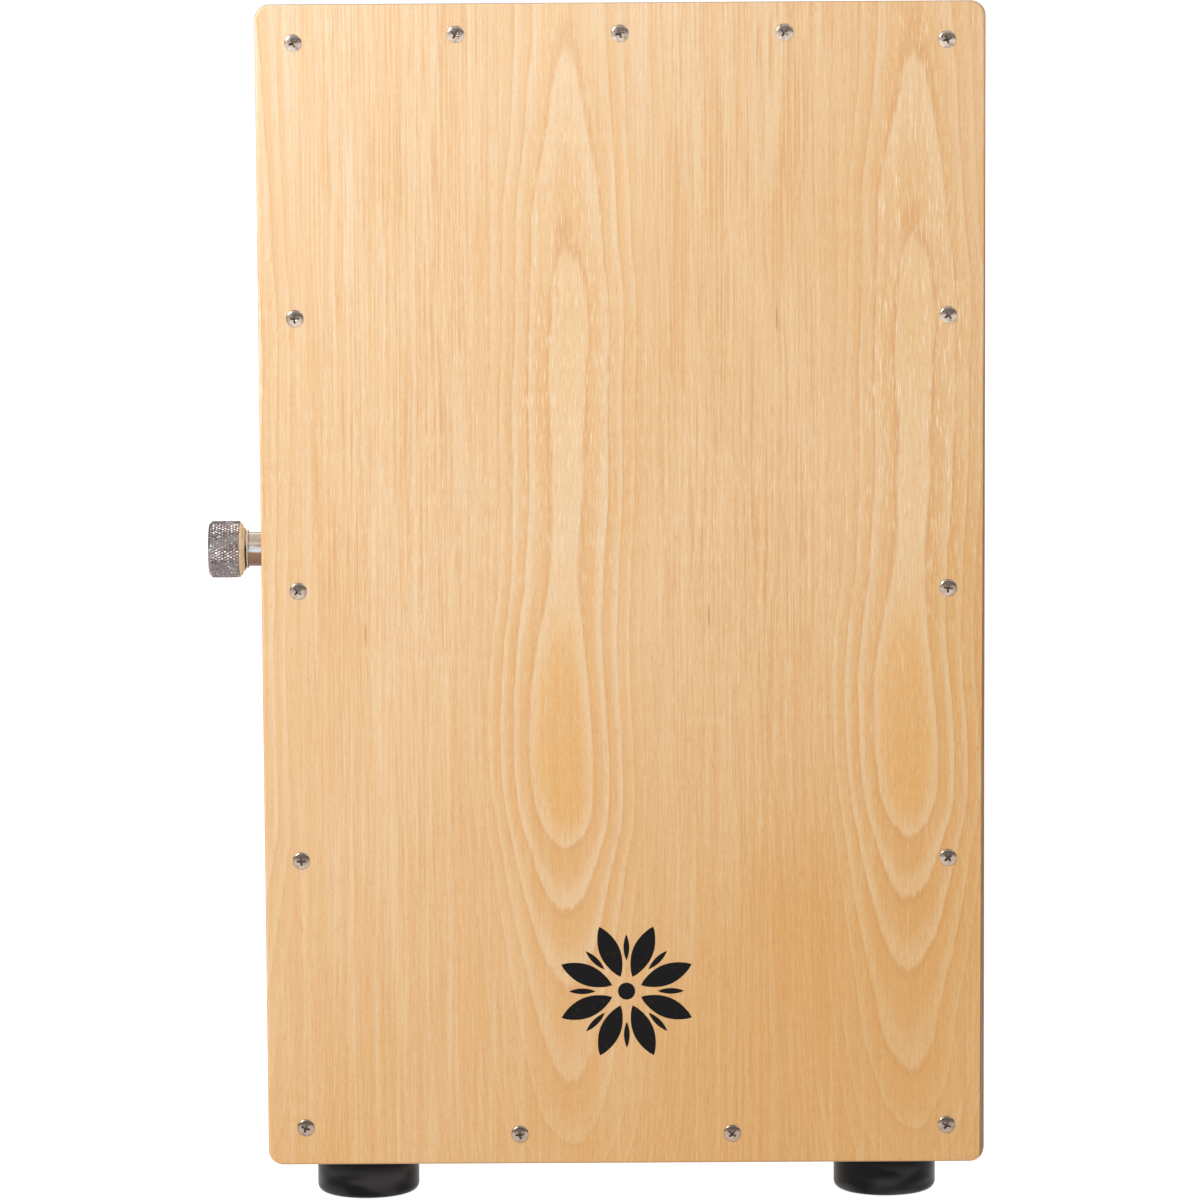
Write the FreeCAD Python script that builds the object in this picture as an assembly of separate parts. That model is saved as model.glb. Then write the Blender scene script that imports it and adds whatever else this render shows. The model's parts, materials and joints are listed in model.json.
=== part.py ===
import FreeCAD, Part
import math
import os

# A cajon: a plywood box drum with a thin screwed-on playing face at the front (-Y), a back with
# a sound hole (+Y), and a snare bar inside, turned by a knurled knob on the left side (-X).
# Millimetres. +Z is up, and the origin is on the floor under the middle of the box.

Vec = FreeCAD.Vector
X_AXIS, Y_AXIS, Z_AXIS = Vec(1, 0, 0), Vec(0, 1, 0), Vec(0, 0, 1)

# Driving dimensions of the box
WIDTH, DEPTH, BOX_HEIGHT = 300.0, 300.0, 484.0
FOOT_HEIGHT = 19.0
WALL = 9.0
FACE_THICKNESS, BACK_THICKNESS = 3.0, 4.0
CORNER_RADIUS = 6.2
FACE_EDGE = 1.2  # the playing face's sanded front edge
# The face's right edge is planed back to a slanting plane, by these widths on the front
PLANED_TOP, PLANED_BOTTOM, PLANED_DEPTH = 0.3, 2.1, 2.6
BATTEN = 18.0
GLUE_BLOCK = 14.0

SIDE = WIDTH / 2
BOTTOM, TOP = FOOT_HEIGHT, FOOT_HEIGHT + BOX_HEIGHT
FRONT, REAR = -DEPTH / 2, DEPTH / 2
SHELL_FRONT, SHELL_REAR = FRONT + FACE_THICKNESS, REAR - BACK_THICKNESS
INNER_SIDE = SIDE - WALL
INNER_BOTTOM, INNER_TOP = BOTTOM + WALL, TOP - WALL
GAP = 0.03  # around a fastener, pin or bush in its hole

# Sound hole in the back
SOUND_HOLE_RADIUS, SOUND_HOLE_Z = 55.0, 345.0
SOUND_HOLE_ROUNDING = 1.2

# Wood screws of the face and the back: raised countersunk heads with a cross recess
SCREW_HEAD_RADIUS, SCREW_SHANK_RADIUS = 3.6, 1.75
SCREW_DOME, SCREW_LENGTH, SCREW_TIP = 0.9, 20.0, 3.0
SCREW_CONE = SCREW_HEAD_RADIUS - SCREW_SHANK_RADIUS
RECESS_DEPTH, RECESS_SPAN, RECESS_WIDTH = 1.7, 3.6, 0.85
CORNER_SCREW_INSET, SIDE_SCREW_INSET, ROW_SCREW_INSET = 15.8, 15.2, 12.6
TOP_ROW_X = (-67.5, 0.0, 67.5)
BOTTOM_ROW_X = (-44.5, 44.5)
SIDE_COLUMN_SHARES = (0.25, 0.5, 0.75)

# Feet
FOOT_RADIUS, FOOT_INSET = 21.6, 40.0
FOOT_EDGE = 3.2
FOOT_RECESS_RADIUS, FOOT_RECESS_DEPTH = 10.0, 11.0
WASHER_RADIUS, WASHER_THICKNESS = 9.0, 1.2
FOOT_SCREW_RADIUS, FOOT_SCREW_HEAD_RADIUS, FOOT_SCREW_HEAD = 2.0, 4.0, 2.6
FOOT_SCREW_LENGTH = 17.8

# Snare bar: it turns about an axis along X
AXIS_Y, AXIS_Z = FRONT + 38.0, 275.0
LEAN = math.radians(8.2)  # the snares lean forward until their tips reach the face
BAR_RADIUS, BAR_HALF, BAR_FLAT = 12.5, 119.0, 9.0
SPINDLE_RADIUS, BORE_RADIUS = 3.0, 3.05
CROSS_PIN_RADIUS = 1.5
LEFT_PIN_X, RIGHT_PIN_X = -100.0, 110.0
STOP_RADIUS, STOP_ORBIT, STOP_TURN = 2.0, 17.0, 45.0

# Knob side, measured outwards from the left panel
KNOB_RADIUS, KNOB_LENGTH, KNOB_CHAMFER = 12.0, 14.0, 1.4
HUB_LENGTH, HUB_SHOULDER, HUB_END = 2.4, 9.6, 8.1
KNOB_REACH = 24.1
RECESS_RADIUS, KNOB_RECESS = 7.6, 3.2
BARREL_RADIUS = 7.2
BARREL_LENGTH = KNOB_REACH - KNOB_LENGTH - HUB_LENGTH + KNOB_RECESS - 0.3
NECK_RADIUS, NECK_LENGTH = 5.0, 17.0

# Snares
SNARE_X, STRANDS, STRAND_PITCH, STRAND_RADIUS = 60.0, 10, 4.2, 1.0
STRAND_LOW, STRAND_HIGH = -4.0, 160.0
PLATE_HALF, PLATE_RISE, PLATE_THICKNESS = 27.0, 8.0, 1.0
CLAMP_HALF, CLAMP_RISE, CLAMP_THICKNESS = 21.5, 2.5, 0.8
SNARE_SCREW_OFFSET = 24.0
FELT_LOW, FELT_HIGH, FELT_THICKNESS, FELT_HALF = 62.0, 76.0, 2.0, 22.0


def block(x, y, z):
    """A box from three (low, high) spans."""
    size = [high - low for low, high in (x, y, z)]
    return Part.makeBox(*size, Vec(x[0], y[0], z[0]))


def rod(radius, start, end):
    """A cylinder between two points."""
    along = Vec(*end) - Vec(*start)
    return Part.makeCylinder(radius, along.Length, Vec(*start), along)


def turned(profile, centre=(0, 0, 0), axis=Z_AXIS):
    """A lathe-turned solid from (radius, height) points about an axis through centre."""
    wire = Part.makePolygon([Vec(r, 0, h) for r, h in profile + profile[:1]])
    solid = Part.Face(wire).revolve(Vec(0, 0, 0), Z_AXIS, 360)
    solid.Placement = FreeCAD.Placement(Vec(*centre), FreeCAD.Rotation(Z_AXIS, axis))
    return solid


def outline(low_y, high_y):
    """The box's full cross-section with its rounded corners, between two depths."""
    slab = block((-SIDE, SIDE), (low_y, high_y), (BOTTOM, TOP))
    corners = [e for e in slab.Edges if abs(e.tangentAt(e.FirstParameter).y) > 0.99]
    return slab.makeFillet(CORNER_RADIUS, corners)


def on_bar(x, along, out):
    """A point on the snare bar: along the snares from the axis, and out towards the face."""
    return (
        x,
        AXIS_Y - along * math.sin(LEAN) - out * math.cos(LEAN),
        AXIS_Z + along * math.cos(LEAN) - out * math.sin(LEAN),
    )


def bar_block(x, along, out):
    """A box laid out in the snare bar's leaning directions."""
    solid = block(x, (-out[1], -out[0]), along)
    solid.rotate(Vec(0, 0, 0), X_AXIS, math.degrees(LEAN))
    solid.translate(Vec(0, AXIS_Y, AXIS_Z))
    return solid


def on_axis(x):
    """A point on the snare bar's axis."""
    return (x, AXIS_Y, AXIS_Z)


def save(name, *solids):
    """Writes one sub-part, a single solid or a group of identical ones."""
    shape = solids[0] if len(solids) == 1 else Part.makeCompound(list(solids))
    for solid in shape.Solids:
        assert solid.isValid() and solid.Volume > 0, name
    shape.exportStep(f"parts/{name}.step")


# ---- Fasteners ------------------------------------------------------------------------------


def cross_recess(span, half, depth):
    """The cross that a screwdriver's tip fills: two crossed bars between two depths."""
    return block((-span, span), (-half, half), depth).fuse(block((-half, half), (-span, span), depth))


def wood_screw(point, inwards, turn):
    """A raised countersunk screw whose head's rim is at point; turn sets its cross recess."""
    shank_end = SCREW_LENGTH - SCREW_TIP
    dome_sphere = (SCREW_HEAD_RADIUS**2 + SCREW_DOME**2) / (2 * SCREW_DOME)
    body = turned([
        (0, -SCREW_LENGTH), (SCREW_SHANK_RADIUS, -shank_end), (SCREW_SHANK_RADIUS, -SCREW_CONE),
        (SCREW_HEAD_RADIUS, 0), (0, 0),
    ])
    ball = Part.makeSphere(dome_sphere, Vec(0, 0, SCREW_DOME - dome_sphere))
    dome = ball.common(rod(SCREW_HEAD_RADIUS, (0, 0, 0), (0, 0, SCREW_DOME)))
    span, half = RECESS_SPAN / 2, RECESS_WIDTH / 2
    depth = (SCREW_DOME - RECESS_DEPTH, SCREW_DOME + 1)
    screw = body.fuse(dome).removeSplitter().cut(cross_recess(span, half, depth))
    screw.rotate(Vec(0, 0, 0), Z_AXIS, turn)
    seat = FreeCAD.Placement(Vec(*point), FreeCAD.Rotation(Z_AXIS, -inwards))
    screw.Placement = seat * screw.Placement
    return screw


def screw_hole(point, inwards):
    """The countersunk pilot hole that a wood screw fills, a hair wider all round."""
    shank, head = SCREW_SHANK_RADIUS + GAP, SCREW_HEAD_RADIUS + GAP
    cone_end = head - shank
    return turned([
        (0, -SCREW_LENGTH - 0.2), (shank, SCREW_TIP - SCREW_LENGTH - 0.2), (shank, -cone_end),
        (head, 0), (head, 1), (0, 1),
    ], point, -inwards)


def perimeter(top_x, bottom_x, y):
    """Screw places round a panel: corners, the two rows and the two side columns."""
    side, row = SIDE - SIDE_SCREW_INSET, SIDE - CORNER_SCREW_INSET
    high, low = TOP - CORNER_SCREW_INSET, BOTTOM + CORNER_SCREW_INSET
    places = [(sx * row, y, z) for sx in (-1, 1) for z in (low, high)]
    places += [(x, y, TOP - ROW_SCREW_INSET) for x in top_x]
    places += [(x, y, BOTTOM + ROW_SCREW_INSET) for x in bottom_x]
    heights = [low + share * (high - low) for share in SIDE_COLUMN_SHARES]
    places += [(sx * side, y, z) for sx in (-1, 1) for z in heights]
    return places


def cut_screw_holes(solid, places, inwards):
    for place in places:
        hole = screw_hole(place, inwards)
        if hole.BoundBox.intersect(solid.BoundBox):
            solid = solid.cut(hole)
    return solid


FACE_SCREWS = perimeter(TOP_ROW_X, BOTTOM_ROW_X, FRONT)
BACK_SCREWS = perimeter(BOTTOM_ROW_X, BOTTOM_ROW_X, REAR)
GOLDEN_TURN = 137.5  # each screw stops at its own angle


def make_panel_screws():
    for name, places, inwards in (
        ("face_screws", FACE_SCREWS, Y_AXIS),
        ("back_screws", BACK_SCREWS, -Y_AXIS),
    ):
        save(name, *[wood_screw(p, inwards, GOLDEN_TURN * i) for i, p in enumerate(places)])


# ---- Box ------------------------------------------------------------------------------------


def foot_places():
    return [
        (f"foot_{end}_{side}", sx * (SIDE - FOOT_INSET), sy * (REAR - FOOT_INSET))
        for end, sy in (("front", -1), ("back", 1))
        for side, sx in (("left", -1), ("right", 1))
    ]


def make_shell_panels():
    """Top, bottom and two sides, mitred together at their corners."""
    inside = block((-INNER_SIDE, INNER_SIDE), (FRONT, REAR), (INNER_BOTTOM, INNER_TOP))
    shell = outline(SHELL_FRONT, SHELL_REAR).cut(inside)
    outer = [(-SIDE, BOTTOM), (SIDE, BOTTOM), (SIDE, TOP), (-SIDE, TOP)]
    inner = [
        (-INNER_SIDE, INNER_BOTTOM), (INNER_SIDE, INNER_BOTTOM),
        (INNER_SIDE, INNER_TOP), (-INNER_SIDE, INNER_TOP),
    ]
    panels = {}
    for i, name in enumerate(("bottom_panel", "right_side_panel", "top_panel", "left_side_panel")):
        j = (i + 1) % 4
        corners = [Vec(x, FRONT, z) for x, z in (outer[i], outer[j], inner[j], inner[i], outer[i])]
        wedge = Part.Face(Part.makePolygon(corners)).extrude(Vec(0, DEPTH, 0))
        panels[name] = shell.common(wedge)
    neck_hole = rod(NECK_RADIUS + GAP, on_axis(-SIDE - 1), on_axis(-INNER_SIDE + 1))
    panels["left_side_panel"] = panels["left_side_panel"].cut(neck_hole)
    for _, x, y in foot_places():
        hole = rod(FOOT_SCREW_RADIUS + GAP, (x, y, 0), (x, y, INNER_BOTTOM + 1))
        panels["bottom_panel"] = panels["bottom_panel"].cut(hole)
    for name, panel in panels.items():
        save(name, panel)


def beyond_planed_edge():
    """The space outside the slanting plane that the playing face's right edge is planed to."""
    top = Vec(SIDE - PLANED_TOP, FRONT, TOP)
    bottom = Vec(SIDE - PLANED_BOTTOM, FRONT, BOTTOM)
    back = Vec(SIDE, FRONT + PLANED_DEPTH, BOTTOM)
    outwards = (back - bottom).cross(top - bottom)
    size = 2 * BOX_HEIGHT
    space = Part.makeBox(size, size, size, Vec(-size / 2, -size / 2, 0))
    space.Placement = FreeCAD.Placement((top + bottom) / 2, FreeCAD.Rotation(Z_AXIS, outwards))
    return space


def make_face_and_back():
    face = outline(FRONT, SHELL_FRONT)
    front_edges = [e for e in face.Edges if e.BoundBox.YMax < FRONT + 0.01]
    face = face.makeFillet(FACE_EDGE, front_edges).cut(beyond_planed_edge())
    save("playing_face", cut_screw_holes(face, FACE_SCREWS, Y_AXIS))

    hole = rod(SOUND_HOLE_RADIUS, (0, 0, SOUND_HOLE_Z), (0, REAR + 1, SOUND_HOLE_Z))
    back = outline(SHELL_REAR, REAR).cut(hole)
    rims = [
        e for e in back.Edges
        if isinstance(e.Curve, Part.Circle) and abs(e.Curve.Radius - SOUND_HOLE_RADIUS) < 0.01
    ]
    back = back.makeFillet(SOUND_HOLE_ROUNDING, rims)
    save("back_panel", cut_screw_holes(back, BACK_SCREWS, -Y_AXIS))


def make_battens():
    """Square battens behind the face and inside the back, which the panel screws bite into."""
    inner_x, inner_z = INNER_SIDE - BATTEN, (INNER_BOTTOM + BATTEN, INNER_TOP - BATTEN)
    upright = (INNER_BOTTOM, INNER_TOP)
    sections = {
        "left": ((-INNER_SIDE, -inner_x), upright),
        "right": ((inner_x, INNER_SIDE), upright),
        "top": ((-inner_x, inner_x), (inner_z[1], INNER_TOP)),
        "bottom": ((-inner_x, inner_x), (INNER_BOTTOM, inner_z[0])),
    }
    ends = (
        ("front", (SHELL_FRONT, SHELL_FRONT + BATTEN), FACE_SCREWS, Y_AXIS),
        ("back", (SHELL_REAR - BATTEN, SHELL_REAR), BACK_SCREWS, -Y_AXIS),
    )
    for end, y, screws, inwards in ends:
        for side, (x, z) in sections.items():
            save(f"{end}_batten_{side}", cut_screw_holes(block(x, y, z), screws, inwards))


def make_glue_blocks():
    """Triangular strips glued into the four long corners between the battens."""
    length = SHELL_REAR - SHELL_FRONT - 2 * BATTEN
    for level, z, up in (("top", INNER_TOP, -1), ("bottom", INNER_BOTTOM, 1)):
        for side, x, across in (("left", -INNER_SIDE, 1), ("right", INNER_SIDE, -1)):
            corner = Vec(x, SHELL_FRONT + BATTEN, z)
            side_leg, level_leg = Vec(0, 0, up * GLUE_BLOCK), Vec(across * GLUE_BLOCK, 0, 0)
            legs = [corner, corner + level_leg, corner + side_leg, corner]
            strip = Part.Face(Part.makePolygon(legs)).extrude(Vec(0, length, 0))
            save(f"glue_block_{level}_{side}", strip)


# ---- Feet -----------------------------------------------------------------------------------


def make_feet():
    washers, screws = [], []
    seat = FOOT_RECESS_DEPTH
    head_top = seat - WASHER_THICKNESS
    for name, x, y in foot_places():
        foot = rod(FOOT_RADIUS, (x, y, 0), (x, y, FOOT_HEIGHT))
        rim = [e for e in foot.Edges if isinstance(e.Curve, Part.Circle) and e.Curve.Center.z < 1]
        foot = foot.makeFillet(FOOT_EDGE, rim)
        foot = foot.cut(rod(FOOT_RECESS_RADIUS, (x, y, -1), (x, y, seat)))
        foot = foot.cut(rod(FOOT_SCREW_RADIUS + GAP, (x, y, 0), (x, y, FOOT_HEIGHT + 1)))
        save(name, foot)
        hole = rod(FOOT_SCREW_RADIUS + 0.2, (x, y, 0), (x, y, seat + 1))
        washers.append(rod(WASHER_RADIUS, (x, y, head_top), (x, y, seat)).cut(hole))
        screws.append(pan_screw((x, y, head_top), Z_AXIS, FOOT_SCREW_RADIUS, FOOT_SCREW_LENGTH,
                                FOOT_SCREW_HEAD_RADIUS, FOOT_SCREW_HEAD))
    save("foot_washers", *washers)
    save("foot_screws", *screws)


def pan_screw(point, inwards, radius, length, head_radius, head_height):
    """A pan-head screw whose head's underside is at point."""
    tip = 2 * radius
    screw = turned([
        (0, length), (radius, length - tip), (radius, 0), (head_radius, 0),
        (head_radius, -head_height * 0.45), (head_radius * 0.7, -head_height), (0, -head_height),
    ])
    span, half = head_radius * 0.55, head_radius * 0.12
    depth = (-head_height - 1, -head_height * 0.4)
    screw = screw.cut(cross_recess(span, half, depth))
    screw.Placement = FreeCAD.Placement(Vec(*point), FreeCAD.Rotation(Z_AXIS, inwards))
    return screw


# ---- Knob, bushing and friction stack on the left side ---------------------------------------

KNOB_OUT = -SIDE - KNOB_REACH
KNURL_IN = KNOB_OUT + KNOB_LENGTH
KNOB_IN = KNURL_IN + HUB_LENGTH
KNOB_FLOOR = KNOB_IN - KNOB_RECESS
KNOB_COVER, KNOB_SCREW_INSET = 2.5, 5.6  # the wall over the spindle's end, and the set screw
SPINDLE_OUT, SPINDLE_IN = KNOB_OUT + KNOB_COVER, -90.0
KNOB_SCREW_X = KNOB_OUT + KNOB_SCREW_INSET
NECK_IN = -SIDE + NECK_LENGTH
NUT_WASHER_THICKNESS, NUT_WASHER_RADIUS = 1.0, 9.5
NUT_THICKNESS, NUT_FLATS = 5.0, 16.0
NYLON_THICKNESS, NYLON_RADIUS = 1.0, 7.0
SPRING_THICKNESS, SPRING_HEIGHT, SPRING_RADIUS = 0.6, 1.1, 6.5
COLLAR_RADIUS, COLLAR_LENGTH = 8.0, 8.0
SLACK = 0.05  # between faces that turn against each other
COLLAR_OUT = NECK_IN + NYLON_THICKNESS + SPRING_HEIGHT + 2 * SLACK
COLLAR_SCREW_X = COLLAR_OUT + COLLAR_LENGTH / 2
SET_SCREW_RADIUS, SPINDLE_FLAT, FLAT_HALF = 2.0, 2.5, 2.6
LOOSE = 0.2  # around the spindle in the washer and the spring


def make_knob():
    outer = [
        (0, 0), (KNOB_RADIUS - KNOB_CHAMFER, 0), (KNOB_RADIUS, KNOB_CHAMFER),
        (KNOB_RADIUS, KNOB_LENGTH - KNOB_CHAMFER), (KNOB_RADIUS - KNOB_CHAMFER, KNOB_LENGTH),
        (HUB_SHOULDER, KNOB_LENGTH), (HUB_END, KNOB_LENGTH + HUB_LENGTH),
        (0, KNOB_LENGTH + HUB_LENGTH),
    ]
    knob = turned(outer, on_axis(KNOB_OUT), X_AXIS)
    knob = knob.cut(rod(RECESS_RADIUS, on_axis(KNOB_FLOOR), on_axis(KNOB_IN + 1)))
    knob = knob.cut(rod(SPINDLE_RADIUS + GAP, on_axis(SPINDLE_OUT - 0.2), on_axis(KNOB_IN)))
    knob = knob.cut(set_screw_hole(KNOB_SCREW_X, KNOB_RADIUS + 1))
    save("knob", knob)
    save("knob_set_screw", set_screw(KNOB_SCREW_X, KNOB_RADIUS - 1.5))


def radial(x, radius):
    """A point behind the axis, at a radius, where the set screws are reached from."""
    return (x, AXIS_Y + radius, AXIS_Z)


def set_screw_hole(x, radius):
    return rod(SET_SCREW_RADIUS + GAP, radial(x, 0), radial(x, radius))


def set_screw(x, radius):
    """A headless screw that bears on the spindle's flat, with a hexagon socket."""
    screw = rod(SET_SCREW_RADIUS, radial(x, SPINDLE_FLAT + GAP), radial(x, radius))
    return screw.cut(hexagon(2.0, radial(x, radius - 2.0), Y_AXIS, 3.0))


def hexagon(flats, point, axis, height):
    """A hexagonal prism of a width across flats, along axis from point."""
    corner = flats / math.sqrt(3)
    angles = [math.radians(60 * i) for i in range(7)]
    points = [Vec(corner * math.cos(a), corner * math.sin(a), 0) for a in angles]
    prism = Part.Face(Part.makePolygon(points)).extrude(Vec(0, 0, height))
    prism.Placement = FreeCAD.Placement(Vec(*point), FreeCAD.Rotation(Z_AXIS, axis))
    return prism


def make_spindle():
    """The steel spindle that joins the knob to the bar, with two flats and a cross hole."""
    spindle = rod(SPINDLE_RADIUS, on_axis(SPINDLE_OUT), on_axis(SPINDLE_IN))
    for x in (KNOB_SCREW_X, COLLAR_SCREW_X):
        flat = block((x - FLAT_HALF, x + FLAT_HALF), (AXIS_Y + SPINDLE_FLAT, AXIS_Y + 9),
                     (AXIS_Z - 9, AXIS_Z + 9))
        spindle = spindle.cut(flat)
    save("spindle", spindle.cut(cross_hole(LEFT_PIN_X)))


def make_bushing():
    """The fixed barrel outside the panel, whose neck is held by a washer and nut inside."""
    barrel = turned([
        (BORE_RADIUS, 0), (BARREL_RADIUS - 0.5, 0), (BARREL_RADIUS, 0.5),
        (BARREL_RADIUS, BARREL_LENGTH), (NECK_RADIUS, BARREL_LENGTH),
        (NECK_RADIUS, BARREL_LENGTH + NECK_LENGTH), (BORE_RADIUS, BARREL_LENGTH + NECK_LENGTH),
    ], on_axis(-SIDE - BARREL_LENGTH), X_AXIS)
    save("spindle_bushing", barrel)

    washer_in = -INNER_SIDE + NUT_WASHER_THICKNESS
    neck = rod(NECK_RADIUS + GAP, on_axis(-SIDE), on_axis(-100))
    save("bushing_washer", rod(NUT_WASHER_RADIUS, on_axis(-INNER_SIDE), on_axis(washer_in)).cut(neck))
    save("bushing_nut", hexagon(NUT_FLATS, on_axis(washer_in), X_AXIS, NUT_THICKNESS).cut(neck))


def make_friction_stack():
    """A nylon washer, a conical spring and a collar that press on the neck and hold the turn."""
    clear = rod(SPINDLE_RADIUS + LOOSE, on_axis(-SIDE), on_axis(-100))
    nylon = rod(NYLON_RADIUS, on_axis(NECK_IN), on_axis(NECK_IN + NYLON_THICKNESS))
    save("friction_washer", nylon.cut(clear))

    inner, rise = SPINDLE_RADIUS + LOOSE, SPRING_HEIGHT - SPRING_THICKNESS
    spring = turned([
        (inner, rise), (SPRING_RADIUS, 0), (SPRING_RADIUS, SPRING_THICKNESS), (inner, SPRING_HEIGHT),
    ], on_axis(NECK_IN + NYLON_THICKNESS + SLACK), X_AXIS)
    save("disc_spring", spring)

    collar = rod(COLLAR_RADIUS, on_axis(COLLAR_OUT), on_axis(COLLAR_OUT + COLLAR_LENGTH))
    collar = collar.cut(rod(SPINDLE_RADIUS + GAP, on_axis(-SIDE), on_axis(-100)))
    save("shaft_collar", collar.cut(set_screw_hole(COLLAR_SCREW_X, COLLAR_RADIUS + 1)))
    save("collar_set_screw", set_screw(COLLAR_SCREW_X, COLLAR_RADIUS - 0.5))


# ---- Snare bar, right pivot and stop ----------------------------------------------------------

PIVOT_IN, PIVOT_OUT = 92.0, INNER_SIDE - 3.5
BUSH_RADIUS, BUSH_FLANGE_RADIUS, BUSH_FLANGE = 5.0, 7.0, 1.5
PIVOT_BLOCK_IN = INNER_SIDE - BATTEN
PIVOT_BLOCK_DEPTH, PIVOT_BLOCK_HEIGHT = 38.0, 44.0
END_WASHER_X, END_WASHER_THICKNESS, END_WASHER_RADIUS = BAR_HALF + 0.5, 1.5, 8.0
PIN_TAIL = -20.0
STOP_INWARDS = RIGHT_PIN_X - 5.0


def cross_hole(x):
    return rod(CROSS_PIN_RADIUS + GAP, on_bar(x, 0, -BAR_RADIUS - 1), on_bar(x, 0, BAR_RADIUS))


def snare_screw_places():
    return [on_bar(sx * SNARE_X + offset, 0, BAR_FLAT + PLATE_THICKNESS)
            for sx in (-1, 1) for offset in (-SNARE_SCREW_OFFSET, SNARE_SCREW_OFFSET)]


SNARE_SCREW_RADIUS, SNARE_SCREW_LENGTH = 1.5, 9.0
INTO_BAR = Vec(0, math.cos(LEAN), math.sin(LEAN))


def make_snare_bar():
    bar = rod(BAR_RADIUS, on_axis(-BAR_HALF), on_axis(BAR_HALF))
    bar = bar.cut(bar_block((-200, 200), (-20, 20), (BAR_FLAT, BAR_FLAT + 10)))
    for end, sign in ((SPINDLE_IN, -1), (PIVOT_IN, 1)):
        bar = bar.cut(rod(SPINDLE_RADIUS + GAP, on_axis(end - sign * 0.2), on_axis(sign * 200)))
    for x in (LEFT_PIN_X, RIGHT_PIN_X):
        bar = bar.cut(cross_hole(x))
    for place in snare_screw_places():
        start = Vec(*place)
        end = start + INTO_BAR * (SNARE_SCREW_LENGTH + 0.2)
        bar = bar.cut(rod(SNARE_SCREW_RADIUS + GAP, start, end))
    save("snare_bar", bar)

    flush = BAR_FLAT - 0.2
    save("left_cross_pin", rod(CROSS_PIN_RADIUS, on_bar(LEFT_PIN_X, 0, 0.3 - BAR_RADIUS),
                               on_bar(LEFT_PIN_X, 0, flush)))
    save("right_cross_pin", rod(CROSS_PIN_RADIUS, on_bar(RIGHT_PIN_X, 0, PIN_TAIL),
                                on_bar(RIGHT_PIN_X, 0, flush)))
    pivot = rod(SPINDLE_RADIUS, on_axis(PIVOT_IN), on_axis(PIVOT_OUT))
    save("pivot_pin", pivot.cut(cross_hole(RIGHT_PIN_X)))


def make_pivot():
    """The right-hand bearing: a glued block with a flanged nylon bush and a stop pin."""
    sleeve_end = INNER_SIDE - 3.0
    block_y = (SHELL_FRONT + BATTEN, SHELL_FRONT + BATTEN + PIVOT_BLOCK_DEPTH)
    half = PIVOT_BLOCK_HEIGHT / 2
    bearing = block((PIVOT_BLOCK_IN, INNER_SIDE), block_y, (AXIS_Z - half, AXIS_Z + half))
    bush_hole = rod(BUSH_RADIUS + GAP, on_axis(PIVOT_BLOCK_IN - 1), on_axis(sleeve_end + GAP))
    bearing = bearing.cut(bush_hole)

    bush = rod(BUSH_RADIUS, on_axis(PIVOT_BLOCK_IN), on_axis(sleeve_end))
    flange = rod(BUSH_FLANGE_RADIUS, on_axis(PIVOT_BLOCK_IN - BUSH_FLANGE), on_axis(PIVOT_BLOCK_IN))
    save("pivot_bush", bush.fuse(flange).cut(rod(BORE_RADIUS, on_axis(0), on_axis(SIDE))))

    washer = rod(END_WASHER_RADIUS, on_axis(END_WASHER_X), on_axis(END_WASHER_X + END_WASHER_THICKNESS))
    save("end_washer", washer.cut(rod(SPINDLE_RADIUS + GAP, on_axis(0), on_axis(SIDE))))

    touch = math.degrees(math.asin((STOP_RADIUS + CROSS_PIN_RADIUS + 0.1) / STOP_ORBIT))
    angle = LEAN - math.radians(STOP_TURN + touch)
    stop_y, stop_z = AXIS_Y + STOP_ORBIT * math.cos(angle), AXIS_Z + STOP_ORBIT * math.sin(angle)
    stop_end = PIVOT_BLOCK_IN + 12.0
    save("stop_pin", rod(STOP_RADIUS, (STOP_INWARDS, stop_y, stop_z), (stop_end, stop_y, stop_z)))
    hole_start, hole_end = (PIVOT_BLOCK_IN - 1, stop_y, stop_z), (stop_end + GAP, stop_y, stop_z)
    stop_hole = rod(STOP_RADIUS + GAP, hole_start, hole_end)
    save("pivot_block", bearing.cut(stop_hole))


# ---- Snares -----------------------------------------------------------------------------------


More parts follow.
